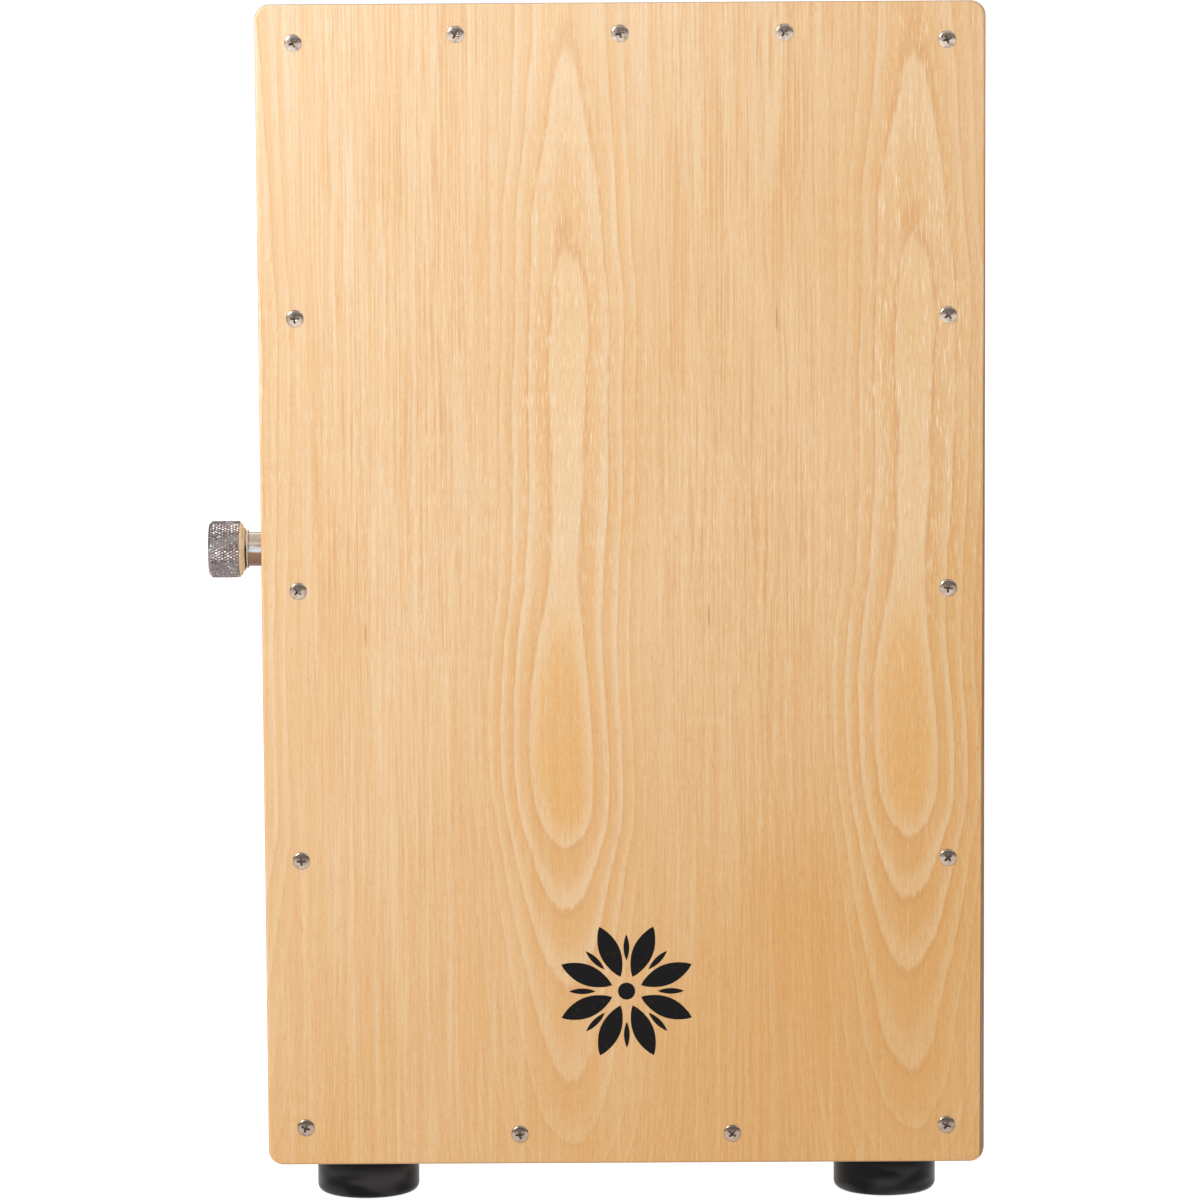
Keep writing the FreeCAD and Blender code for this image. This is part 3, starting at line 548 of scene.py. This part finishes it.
def make_rubber():
    s = Shader("black_rubber")
    cloud = s.grain(0.08, 0.08, 0.25, detail=3)
    pebble = s.grain(3)
    dust = s.grain(0.9, detail=4, roughness=0.7)
    colour = s.mix(s.spread(cloud, 0.35, 0.7), srgb(6, 5, 6), srgb(13, 12, 13))
    # paler scuffs low on each foot, which also stand for a painted sheen
    scuff_and_sheen = s.grain(0.045, 0.045, 0.12, detail=1)
    scuff_and_sheen = s.times(s.spread(scuff_and_sheen, 0.4, 0.62, 0, 0.9), s.spread(s.z, 15, 8))
    colour = s.mix(scuff_and_sheen, colour, srgb(60, 58, 62))
    colour = s.mix(s.spread(dust, 0.64, 0.8, 0, 0.2), colour, srgb(84, 76, 70))
    return s.finish(colour, s.spread(pebble, 0.3, 0.7, 0.28, 0.4), pebble, depth=0.02,
                    Specular_IOR_Level=0.12)


def make_felt():
    s = Shader("grey_felt")
    fuzz = s.grain(4, detail=5, roughness=0.75)
    mat = s.grain(0.7, detail=3)
    colour = s.mix(fuzz, srgb(52, 52, 55), srgb(104, 103, 104))
    colour = s.mix(s.spread(mat, 0.4, 0.7, 0, 0.4), colour, srgb(44, 44, 46))
    return s.finish(colour, 0.95, fuzz, depth=0.4, Sheen_Weight=0.3, Sheen_Roughness=0.6)


def make_nylon():
    s = Shader("white_nylon")
    cloud = s.grain(0.6, detail=3)
    colour = s.mix(cloud, srgb(226, 222, 210), srgb(240, 238, 230))
    return s.finish(colour, s.spread(cloud, 0.3, 0.7, 0.38, 0.5), cloud, depth=0.02,
                    Subsurface_Weight=0.1, Subsurface_Scale=0.002)


def make_ink():
    """Screen-printed black, a little thin where it crosses the veneer's open pores."""
    s = Shader("black_ink")
    pore = s.grain(3.2, 1, 0.3)
    cloud = s.grain(0.15)
    colour = s.mix(cloud, srgb(4, 3, 4), srgb(14, 10, 10))
    colour = s.mix(s.spread(pore, 0.67, 0.75, 0, 0.6), colour, srgb(120, 88, 60))
    return s.finish(colour, s.spread(cloud, 0.3, 0.7, 0.55, 0.66), pore, depth=0.02,
                    Specular_IOR_Level=0.15)


def paint(node, material):
    """Gives a CAD node its material, leaving its mesh and place alone."""
    for slot in NODES[node].material_slots:
        slot.material = material


# ---- Mesh helpers


def add_object(name, data):
    thing = bpy.data.objects.new(name, data)
    SCENE.collection.objects.link(thing)
    return thing


def piece(name, vertices, faces, material, body, replaces=(), sharp=35):
    """A new mesh piece in the frame, in metres, riding on a body."""
    mesh = bpy.data.meshes.new(name)
    mesh.from_pydata([tuple(v) for v in vertices], [], faces)
    mesh.validate()
    mesh.update()
    mesh.shade_smooth()
    mesh.set_sharp_from_angle(angle=math.radians(sharp))
    mesh.materials.append(material)
    thing = add_object(name, mesh)
    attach(thing, body)
    if replaces:
        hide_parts(*replaces)
    return thing


def frame_along(axis):
    """Two directions across an axis, so that (first, second, axis) is right-handed."""
    helper = Z_AXIS if abs(axis.z) < 0.9 else X_AXIS
    first = helper.cross(axis).normalized()
    return first, axis.cross(first)


def around(axis, count):
    """Directions across an axis, evenly spaced through a full turn."""
    first, second = frame_along(axis)
    angles = [2 * math.pi * i / count for i in range(count)]
    return [first * math.cos(angle) + second * math.sin(angle) for angle in angles]


def add_ring(vertices, points):
    """Adds points to the vertices, and returns their numbers."""
    start = len(vertices)
    vertices.extend(points)
    return list(range(start, len(vertices)))


def lathe(profile, centre, axis, segments, closed=False):
    """Turns (radius, height) points in metres about an axis. Returns vertices and faces."""
    vertices, rings = [], []
    for radius, height in profile:
        spokes = around(axis, segments) if radius else [Vector()]
        points = [centre + spoke * radius + axis * height for spoke in spokes]
        rings.append(add_ring(vertices, points))
    return vertices, stitch(rings, segments, closed)


def stitch(rings, segments, closed=False):
    """Faces between neighbouring rings; a ring of one point is a pole."""
    faces = []
    pairs = list(zip(rings, rings[1:]))
    if closed:
        pairs.append((rings[-1], rings[0]))
    for low, high in pairs:
        for i in range(segments):
            j = (i + 1) % segments
            if len(low) == 1:
                faces.append((low[0], high[j], high[i]))
            elif len(high) == 1:
                faces.append((low[i], low[j], high[0]))
            else:
                faces.append((low[i], low[j], high[j], high[i]))
    return faces


def flipped(faces):
    """The same faces, looking the other way."""
    return [tuple(reversed(face)) for face in faces]


def join(vertices, faces, more_vertices, more_faces):
    """Adds a mesh to another one."""
    faces += [tuple(i + len(vertices) for i in face) for face in more_faces]
    vertices += more_vertices


def arc(centre, radius, start, end, steps=6):
    """Points of a circular arc in a profile; angles in degrees."""
    points = []
    for i in range(steps + 1):
        angle = math.radians(start + (end - start) * i / steps)
        points.append((centre[0] + radius * math.cos(angle), centre[1] + radius * math.sin(angle)))
    return points


def islands(node):
    """The separate solids of a CAD node, each as a list of its points."""
    mesh = NODES[node].data
    parent = list(range(len(mesh.vertices)))

    def root(i):
        while parent[i] != i:
            parent[i] = parent[parent[i]]
            i = parent[i]
        return i

    same = {}
    for i, vertex in enumerate(mesh.vertices):
        key = tuple(round(c, 7) for c in vertex.co)
        if key in same:
            parent[root(i)] = root(same[key])
        else:
            same[key] = i
    for edge in mesh.edges:
        parent[root(edge.vertices[0])] = root(edge.vertices[1])
    groups = {}
    for i, vertex in enumerate(mesh.vertices):
        groups.setdefault(root(i), []).append(vertex.co.copy())
    return list(groups.values())


def box_of(points):
    low = Vector([min(p[k] for p in points) for k in range(3)])
    high = Vector([max(p[k] for p in points) for k in range(3)])
    return low, high


# ---- Screws

HEAD_SEGMENTS, HEAD_RINGS = 64, 22
RIM = 0.86  # the share of the head's radius where its dome rounds off
SCREW_LENGTH, SHANK, POINT = 20 * MM, 1.75 * MM, 3 * MM  # below the rim, the radius, the tip
RECESS_REACH, RECESS_HALF, RECESS_HEART = 1.85 * MM, 0.46 * MM, 0.72 * MM  # wings and middle, across
RECESS_DEPTH, RECESS_LEAST, RECESS_WALL = 1.55 * MM, 0.3 * MM, 0.13 * MM  # down, and its walls' slope


def recess(x, y):
    """How deep a cross recess is at a point of the head, with sloped walls and floor."""
    distance = math.hypot(x, y)
    half = RECESS_HALF - 0.1 * distance
    wing = min(half - abs(y), RECESS_REACH - abs(x))
    other = min(half - abs(x), RECESS_REACH - abs(y))
    heart = RECESS_HEART - distance
    inside = max(wing, other, heart)
    wall = min(1, max(0, inside / RECESS_WALL + 0.5))
    floor = RECESS_DEPTH * (1 - 0.55 * distance / RECESS_REACH)
    return wall * max(floor, RECESS_LEAST)


def screw_mesh(centre, outwards, head_radius, dome, turn):
    """A raised countersunk head with its recess, on a plain shank; centre is at the rim's level."""
    spokes = around(outwards, HEAD_SEGMENTS)
    vertices, rings = [centre + outwards * (dome - recess(0, 0))], [[0]]
    for k in range(1, HEAD_RINGS + 1):
        radius = head_radius * (k / HEAD_RINGS) ** 0.9
        edge = max(0, radius / head_radius - RIM) / (1 - RIM)
        crown = dome * (1 - (radius / head_radius) ** 2 * 0.75 - 0.25 * edge**2)
        points = []
        for i, spoke in enumerate(spokes):
            angle = 2 * math.pi * i / HEAD_SEGMENTS + turn
            height = crown - recess(radius * math.cos(angle), radius * math.sin(angle))
            points.append(centre + spoke * radius + outwards * height)
        rings.append(add_ring(vertices, points))
    for height in (SHANK - head_radius, POINT - SCREW_LENGTH):
        rings.append(add_ring(vertices, [centre + spoke * SHANK + outwards * height for spoke in spokes]))
    rings.append(add_ring(vertices, [centre - outwards * SCREW_LENGTH]))
    return vertices, flipped(stitch(rings, HEAD_SEGMENTS))


def sunk(vertices, face, centre, outwards):
    """Whether a face of a screw's head lies inside its recess."""
    middle = sum((vertices[i] for i in face), Vector()) / len(face) - centre
    height = middle.dot(outwards)
    return (middle - outwards * height).length < RECESS_REACH * 1.1 and -RECESS_DEPTH < height < 0.2 * MM


def make_panel_screws(material, recess_shade_material):
    """The raised screws of the face and the back, each left at its own angle, with painted shade in their
    cross recesses.
    """
    for node, outwards in (("face_screws", -Y_AXIS), ("back_screws", Y_AXIS)):
        vertices, faces, dark = [], [], []
        for index, points in enumerate(islands(node)):
            low, high = box_of(points)
            middle = (low + high) / 2
            radius = (high.x - low.x) / 2
            dome = high.y - low.y - SCREW_LENGTH
            rim = low.y + dome if outwards.y < 0 else high.y - dome
            centre = Vector((middle.x, rim, middle.z))
            turn = math.radians(137.5 * index + 20)
            more, more_faces = screw_mesh(centre, outwards, radius, dome, turn)
            dark += [sunk(more, face, centre, outwards) for face in more_faces]
            join(vertices, faces, more, more_faces)
        screws = piece(node + "_phillips", vertices, faces, material, CASE, (node,),
                       sharp=28)
        # the faces inside each recess take a darker metal: painted shade
        screws.data.materials.append(recess_shade_material)
        for polygon, is_dark in zip(screws.data.polygons, dark):
            polygon.material_index = int(is_dark)


# ---- Knob and its bushing

KNOB_LOW, KNOB_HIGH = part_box("knob")
KNOB_RADIUS, KNOB_LENGTH = (KNOB_HIGH.z - KNOB_LOW.z) / 2, KNOB_HIGH.x - KNOB_LOW.x
KNOB_END = Vector((KNOB_LOW.x, TURN_AXIS.y, TURN_AXIS.z))  # the middle of its outer end
CHAMFER = 1.4 * MM
BODY = KNOB_LENGTH - 2.4 * MM  # the length of the knurled part, before the hub
GROOVE_START, GROOVE_END = BODY + 1.15 * MM, BODY + 2 * MM
BORE, BORE_DEPTH = 7.6 * MM, 3.2 * MM  # the hub is hollow where the barrel enters it
KNURLS, KNURL_STEPS = 60, 6  # round the knob, and the mesh's steps across each
KNURL_PITCH = 2 * math.pi * KNOB_RADIUS / KNURLS
KNURL_DEPTH = 0.38 * MM
SET_SCREW_LOW, SET_SCREW_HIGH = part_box("knob_set_screw")
SET_SCREW_HOLE = 2.05 * MM  # its radius


def triangle(value):
    """A wave that is 0 at whole numbers and 1 half-way between them."""
    return 1 - abs(2 * (value - math.floor(value)) - 1)


def knurl_rise(angle, slant):
    """The height of a worn diamond knurl, from 0 in its grooves to about 1, each diamond its own."""
    first, second = angle + slant / 2, angle - slant / 2
    cell = (math.floor(first) % KNURLS, math.floor(second) % KNURLS)
    worn = random.Random(cell[0] * 1009 + cell[1])
    height, tilt, lean = worn.uniform(0.7, 1), worn.uniform(-0.9, 0.9), worn.uniform(-0.9, 0.9)
    pyramid = min(triangle(first), triangle(second))
    skew = 1 + tilt * (first % 1 - 0.5) + lean * (second % 1 - 0.5)
    return min(height, pyramid * height * skew / 0.8)


def knob_profile():
    """The knob's outline from its outer end inwards, and which of its rings are the knurl's."""
    shoulder = KNOB_RADIUS - CHAMFER
    outline = [(0, 0.25 * MM), (2.2 * MM, 0.25 * MM), (2.6 * MM, 0.5 * MM), (3.4 * MM, 0.5 * MM),
               (3.8 * MM, 0.12 * MM), (shoulder - 0.9 * MM, 0), (shoulder - 0.1 * MM, 0),
               (shoulder + 0.05 * MM, 0.08 * MM), (KNOB_RADIUS - 0.35 * MM, CHAMFER - 0.3 * MM)]
    span = BODY - 2 * CHAMFER
    count = int(span / (KNURL_PITCH / KNURL_STEPS))
    knurl = range(len(outline), len(outline) + count + 1)
    outline += [(KNOB_RADIUS, CHAMFER + span * i / count) for i in range(count + 1)]
    outline += [(KNOB_RADIUS - 0.4 * MM, BODY - CHAMFER + 0.4 * MM), (shoulder, BODY),
                (9.6 * MM, BODY), (9.5 * MM, BODY + 0.1 * MM), (8.75 * MM, GROOVE_START),
                (7.8 * MM, GROOVE_START + 0.05 * MM), (7.8 * MM, GROOVE_END - 0.05 * MM),
                (8.3 * MM, GROOVE_END), (8.2 * MM, KNOB_LENGTH - 0.1 * MM), (8.1 * MM, KNOB_LENGTH),
                (BORE + 0.1 * MM, KNOB_LENGTH), (BORE, KNOB_LENGTH - 0.15 * MM),
                (BORE, KNOB_LENGTH - BORE_DEPTH), (0, KNOB_LENGTH - BORE_DEPTH)]
    return outline, knurl


def in_set_screw_hole(height, spoke):
    """Moves a point of the knurl to the edge or floor of the set screw's hole, if it is over it."""
    middle = (SET_SCREW_LOW.x + SET_SCREW_HIGH.x) / 2 - KNOB_LOW.x
    floor = SET_SCREW_HIGH.y - TURN_AXIS.y - 0.1 * MM
    across = math.hypot(height - middle, spoke.z)
    if spoke.y <= 0 or across >= SET_SCREW_HOLE * 1.12:
        return height, spoke
    if across > SET_SCREW_HOLE * 0.9:
        scale = SET_SCREW_HOLE / across
        return middle + (height - middle) * scale, Vector((0, spoke.y, spoke.z * scale))
    return height, Vector((0, math.sqrt(max(floor**2 - spoke.z**2, 0)), spoke.z))


def make_knob(material, hub_material, groove_material):
    """A turned steel knob with a diamond knurl, chamfers and a tapered hub."""
    segments = KNURLS * KNURL_STEPS
    profile, knurl = knob_profile()
    vertices, faces = lathe(profile, KNOB_END, X_AXIS, segments)
    first, second = frame_along(X_AXIS)
    for index, vertex in enumerate(vertices):
        if (index - 1) // segments + 1 in knurl:
            height = vertex.x - KNOB_END.x
            spoke = vertex - KNOB_END - X_AXIS * height
            angle = math.atan2(spoke.dot(second), spoke.dot(first)) * KNURLS / (2 * math.pi)
            rise = knurl_rise(angle, (height - CHAMFER) / KNURL_PITCH)
            spoke = spoke.normalized() * (KNOB_RADIUS - KNURL_DEPTH * (1 - rise))
            height, spoke = in_set_screw_hole(height, spoke)
            vertices[index] = KNOB_END + X_AXIS * height + spoke
    knob = piece("knob_knurled", vertices, flipped(faces), material, SNARE, ("knob",),
                 sharp=24)
    knob.data.materials.append(hub_material)
    knob.data.materials.append(groove_material)
    for polygon in knob.data.polygons:
        height = polygon.center.x - KNOB_END.x
        in_groove = GROOVE_START < height < GROOVE_END
        polygon.material_index = 2 if in_groove else int(height > BODY - 0.5 * CHAMFER)


def make_bushing(material):
    """The bright barrel between the knob and the side panel, with its neck going inside."""
    low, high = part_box("spindle_bushing")
    radius = (high.z - low.z) / 2
    barrel = FACE_LOW.x - low.x
    neck, bore, edge = 5 * MM, 3.05 * MM, 0.5 * MM
    profile = [(bore, 0.3 * MM), (bore + 0.3 * MM, 0)]
    profile += arc((radius - edge, edge), edge, -90, 0)
    profile += [(radius, barrel), (neck, barrel), (neck, high.x - low.x - 0.6 * MM),
                (neck - 0.6 * MM, high.x - low.x), (bore, high.x - low.x)]
    centre = Vector((low.x, TURN_AXIS.y, TURN_AXIS.z))
    vertices, faces = lathe(profile, centre, X_AXIS, 128, closed=True)
    piece("bushing_barrel", vertices, flipped(faces), material, CASE,
          ("spindle_bushing",))


# ---- Feet

FOOT_EDGE, FOOT_RIM = 3.2 * MM, 0.5 * MM  # the rounding below and above
FOOT_RECESS, FOOT_RECESS_EDGE = 10 * MM, 0.8 * MM
FOOT_SEAT, FOOT_BORE = 11 * MM, 2.03 * MM  # the height of the washer's seat, and the screw's hole


def foot_profile(radius, height):
    """The outline of a foot, from its screw hole down round its recess and up its side."""
    deep = FOOT_SEAT - FOOT_RECESS_EDGE
    corner = FOOT_RECESS - FOOT_RECESS_EDGE
    profile = [(FOOT_BORE, FOOT_SEAT), (corner, FOOT_SEAT)]
    profile += arc((corner, deep), FOOT_RECESS_EDGE, 90, 0, 4)
    profile += [(FOOT_RECESS, 0.7 * MM), (FOOT_RECESS + 0.7 * MM, 0)]
    profile += arc((radius - FOOT_EDGE, FOOT_EDGE), FOOT_EDGE, -90, 0, 10)
    profile += arc((radius - FOOT_RIM, height - FOOT_RIM), FOOT_RIM, 0, 90, 4)
    return profile + [(FOOT_BORE, height)]


def make_feet(material):
    for end, side in itertools.product(("front", "back"), ("left", "right")):
        node = f"foot_{end}_{side}"
        low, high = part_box(node)
        centre = Vector(((low.x + high.x) / 2, (low.y + high.y) / 2, low.z))
        profile = foot_profile((high.x - low.x) / 2, high.z - low.z)
        vertices, faces = lathe(profile, centre, Z_AXIS, 96, closed=True)
        piece(node + "_moulded", vertices, flipped(faces), material, CASE, (node,), sharp=50)


# ---- Printed rosette

ROSETTE_ACROSS, ROSETTE_HEIGHT = 0.5 * MM, 92.2 * MM  # its middle, to the right and above the floor
ROSETTE_RADIUS, PETALS = 29.5 * MM, 8
INK = 0.03 * MM  # how far the print stands out


def petal(inner, outer, width, angle):
    """The outline of a pointed petal between two radii, as (x, z) points."""
    steps = 14
    points = []
    for side in (1, -1):
        for i in range(steps):
            share = i / steps if side > 0 else 1 - i / steps
            along = inner + (outer - inner) * share
            bulge = side * width * math.sin(math.pi * share) ** 0.8
            points.append((along * math.cos(angle) - bulge * math.sin(angle),
                           along * math.sin(angle) + bulge * math.cos(angle)))
    return points


def circle(radius, steps):
    """Points evenly spaced round a circle."""
    angles = [2 * math.pi * i / steps for i in range(steps)]
    return [(radius * math.cos(angle), radius * math.sin(angle)) for angle in angles]


def make_rosette(material):
    """A plain flower of petals printed low on the face."""
    outlines = [circle(3.6 * MM, 64)]
    half_turn = math.pi / PETALS  # from a petal to the gap beside it
    for i in range(PETALS):
        angle = half_turn * (2 * i + 1)
        outlines.append(petal(6.5 * MM, ROSETTE_RADIUS, 4.3 * MM, angle))
        outlines.append(petal(13 * MM, 24 * MM, 1.2 * MM, angle + half_turn))
    vertices, faces = [], []
    for outline in outlines:
        start, count = len(vertices), len(outline)
        for y in (FACE_LOW.y - INK, FACE_LOW.y + INK):
            vertices += [Vector((ROSETTE_ACROSS + x, y, ROSETTE_HEIGHT + z)) for x, z in outline]
        faces.append(tuple(range(start, start + count)))
        faces.append(tuple(reversed(range(start + count, start + 2 * count))))
        for i in range(count):
            j = (i + 1) % count
            faces.append((start + j, start + i, start + count + i, start + count + j))
    piece("printed_rosette", vertices, faces, material, CASE)


# ---- Snares

WIRE, WIRE_SIDES = 0.26 * MM, 5  # the wire's radius, and how many flats stand for its round
COIL_PITCH, COIL_STEPS = 1.5 * MM, 9


def coil(start, end, radius):
    """A coiled wire of an outer radius between two points."""
    axis = (end - start).normalized()
    spokes = around(axis, COIL_STEPS)
    length = (end - start).length
    count = int(length / COIL_PITCH * COIL_STEPS)
    middle = radius - WIRE
    vertices, rings = [start + spokes[0] * middle], [[0]]
    for k in range(count + 1):
        spoke = spokes[k % COIL_STEPS]
        heart = start + axis * (WIRE + (length - 2 * WIRE) * k / count) + spoke * middle
        points = [heart + spoke * x + axis * y for x, y in circle(WIRE, WIRE_SIDES)]
        rings.append(add_ring(vertices, points))
    rings.append(add_ring(vertices, [end + spoke * middle]))
    return vertices, stitch(rings, WIRE_SIDES)


def strand_ends(points):
    """The middles of a straight strand's lower and upper ends."""
    points = sorted(points, key=lambda point: point.z)
    half = len(points) // 2
    return sum(points[:half], Vector()) / half, sum(points[half:], Vector()) / (len(points) - half)


def make_snare_strands(material):
    for side in ("left", "right"):
        node = f"snare_strands_{side}"
        vertices, faces = [], []
        for points in islands(node):
            low, high = box_of(points)
            join(vertices, faces, *coil(*strand_ends(points), (high.x - low.x) / 2))
        piece(node + "_coils", vertices, faces, material, SNARE, (node,), sharp=80)


PAD_CELLS = (44, 14, 4)  # along, up and through a pad


def pad_faces(index):
    """The squares on a pad's outside, from the numbers of its grid's outer points."""
    faces = []
    for key, (flat, first, second) in itertools.product(index, ((2, 0, 1), (1, 0, 2), (0, 1, 2))):
        corners = [list(key) for _ in range(4)]
        for corner, axis in ((1, first), (2, first), (2, second), (3, second)):
            corners[corner][axis] += 1
        corners = [tuple(corner) for corner in corners]
        if key[flat] in (0, PAD_CELLS[flat]) and all(corner in index for corner in corners):
            faces.append(tuple(index[corner] for corner in corners))
    return faces


def make_felts(material):
    """The soft pads that damp the strands, crowned and pulled in along their edges."""
    start, end = strand_ends(islands("snare_strands_left")[0])
    up = (end - start).normalized()  # the pads lean with the strands
    out = X_AXIS.cross(up)
    for side in ("left", "right"):
        node = f"snare_felt_{side}"
        points = [v.co.copy() for v in NODES[node].data.vertices]
        low, high = box_of(points)
        middle = (low + high) / 2
        spans = [max((p - middle).dot(d) for p in points) for d in (X_AXIS, up, out)]
        vertices, index = [], {}
        for key in itertools.product(*(range(count + 1) for count in PAD_CELLS)):
            if any(step in (0, count) for step, count in zip(key, PAD_CELLS)):
                a, b, c = (2 * step / count - 1 for step, count in zip(key, PAD_CELLS))
                soft = 1 - 0.3 * max(abs(a) ** 10, abs(b) ** 6)
                pull = 1 - 0.04 * abs(c) ** 3
                index[key] = len(vertices)
                vertices.append(middle + X_AXIS * (a * pull * spans[0]) + up * (b * pull * spans[1])
                                + out * (c * soft * spans[2]))
        pad = piece(node + "_pad", vertices, pad_faces(index), material, SNARE, (node,), sharp=60)
        tidy_normals(pad)


def tidy_normals(thing):
    """Turns every face of a closed mesh outwards."""
    mesh = bmesh.new()
    mesh.from_mesh(thing.data)
    bmesh.ops.recalc_face_normals(mesh, faces=mesh.faces)
    mesh.to_mesh(thing.data)
    mesh.free()


# ---- Stage

CAMERA_DISTANCE = 2.25  # in front of the face
CAMERA_HEIGHT = 0.5
CAMERA_LENS = 163.7
PITCH, YAW, ROLL = (math.radians(v) for v in (6.172, -0.2447, -0.351))


def make_camera():
    camera = add_object("camera", bpy.data.cameras.new("camera"))
    forward = Vector((math.sin(YAW) * math.cos(PITCH), math.cos(YAW) * math.cos(PITCH), -math.sin(PITCH)))
    level = Vector((math.cos(YAW), -math.sin(YAW), 0))
    above = level.cross(forward)
    right = level * math.cos(ROLL) + above * math.sin(ROLL)
    upright = above * math.cos(ROLL) - level * math.sin(ROLL)
    turn = Matrix((right, upright, -forward)).transposed().to_4x4()
    camera.matrix_world = Matrix.Translation((0, FACE_LOW.y - CAMERA_DISTANCE, CAMERA_HEIGHT)) @ turn
    camera.data.sensor_width = 36
    camera.data.lens = CAMERA_LENS
    camera.data.clip_end = 100
    SCENE.camera = camera


def make_light(name, place, target, width, height, power):
    """A softbox at a place, turned to a target, in metres and watts."""
    data = bpy.data.lights.new(name, "AREA")
    data.shape, data.size, data.size_y, data.energy = "RECTANGLE", width, height, power
    lamp = add_object(name, data)
    lamp.location = place
    lamp.visible_camera = False
    lamp.rotation_euler = (Vector(target) - Vector(place)).to_track_quat("-Z", "Y").to_euler()


FLOOR_RADIUS = 40
FLOOR_DROP = 0.0002  # the floor's level below the feet
SKY_STOPS = (  # the sine of the height above the horizon, and the grey there
    (0, 0.85), (0.015, 0.85), (0.04, 0.16), (0.53, 0.2), (0.6, 1), (0.74, 1), (0.8, 0.34), (1, 0.34))


def make_floor():
    """A light table: lit from below, so that shadows stay pale."""
    s = Shader("pale_floor")
    cloud = s.noise(s.times(s.x, 0.0005), s.times(s.y, 0.0005), 0)
    colour = s.mix(cloud, (0.23, 0.23, 0.23, 1), (0.25, 0.25, 0.25, 1))
    s.put(s.bsdf.inputs["Emission Color"], colour)
    s.finish(colour, 0.7, Emission_Strength=4)
    vertices = [(x, y, -FLOOR_DROP) for x, y in circle(FLOOR_RADIUS, 96)]
    mesh = bpy.data.meshes.new("floor")
    mesh.from_pydata(vertices, [], [tuple(range(len(vertices)))])
    mesh.materials.append(s.material)
    floor = add_object("floor", mesh)


def make_world():
    """A grey studio with a bright band high up, which the metals reflect."""
    world = bpy.data.worlds.new("studio")
    world.use_nodes = True
    nodes, link = world.node_tree.nodes, world.node_tree.links.new
    sky = nodes["Background"]
    direction = nodes.new("ShaderNodeTexCoord")
    axes = nodes.new("ShaderNodeSeparateXYZ")
    band = nodes.new("ShaderNodeValToRGB")
    link(direction.outputs["Generated"], axes.inputs[0])
    link(axes.outputs["Z"], band.inputs["Fac"])
    link(band.outputs["Color"], sky.inputs["Color"])
    fill_ramp(band, SKY_STOPS)
    sky.inputs["Strength"].default_value = 1.25
    SCENE.world = world


def make_stage():
    make_floor()
    make_world()
    make_light("key", place=(-1, -0.95, 1.15), target=(0, 0, 0.25), width=0.5, height=0.5, power=25.4)
    SCENE.view_settings.view_transform = "Standard"
    SCENE.view_settings.look = "None"


# ---- Everything


def make_small_parts():
    """Materials for the CAD nodes that keep their own shape."""
    spruce = {axis: plain_wood(f"spruce_{axis}", srgb(236, 205, 155), srgb(196, 148, 96), 3.2, axis, 4)
              for axis in "xyz"}
    beech = plain_wood("beech", srgb(214, 168, 124), srgb(180, 128, 86), 2.2, "x", 11, roughness=0.5)
    parts = (
        (beech, ("pivot_block", "snare_bar")),
        (make_nylon(), ("friction_washer", "pivot_bush", "end_washer")),
        (metal("shaft_steel", srgb(178, 178, 180), 0.24, grain=(0.2, 1, 1)),
         ("spindle", "pivot_pin", "disc_spring")),
        (metal("zinc_steel", srgb(200, 202, 206), 0.28),
         ("knob_set_screw", "collar_set_screw", "bushing_washer", "bushing_nut", "shaft_collar",
          "left_cross_pin", "right_cross_pin", "stop_pin", "foot_washers", "foot_screws", "snare_screws",
          "snare_plate_left", "snare_plate_right", "snare_clamp_left", "snare_clamp_right")),
    )
    for material, nodes in parts:
        for node in nodes:
            paint(node, material)
    for node in NODES:
        if "_batten_" in node:
            paint(node, spruce["z" if node.endswith(("left", "right")) else "x"])
        elif node.startswith("glue_block"):
            paint(node, spruce["y"])


make_camera()
make_stage()
make_panel_materials()
make_small_parts()
make_panel_screws(make_screw_nickel(), metal("screw_recess_shade", srgb(126, 110, 98), 0.28, dirt=0.5))
make_knob(make_knob_steel(), make_knob_hub(), make_knob_groove())
make_bushing(make_barrel_chrome())
make_feet(make_rubber())
make_rosette(make_ink())
make_snare_strands(metal("snare_wire", srgb(206, 206, 208), 0.2))
make_felts(make_felt())
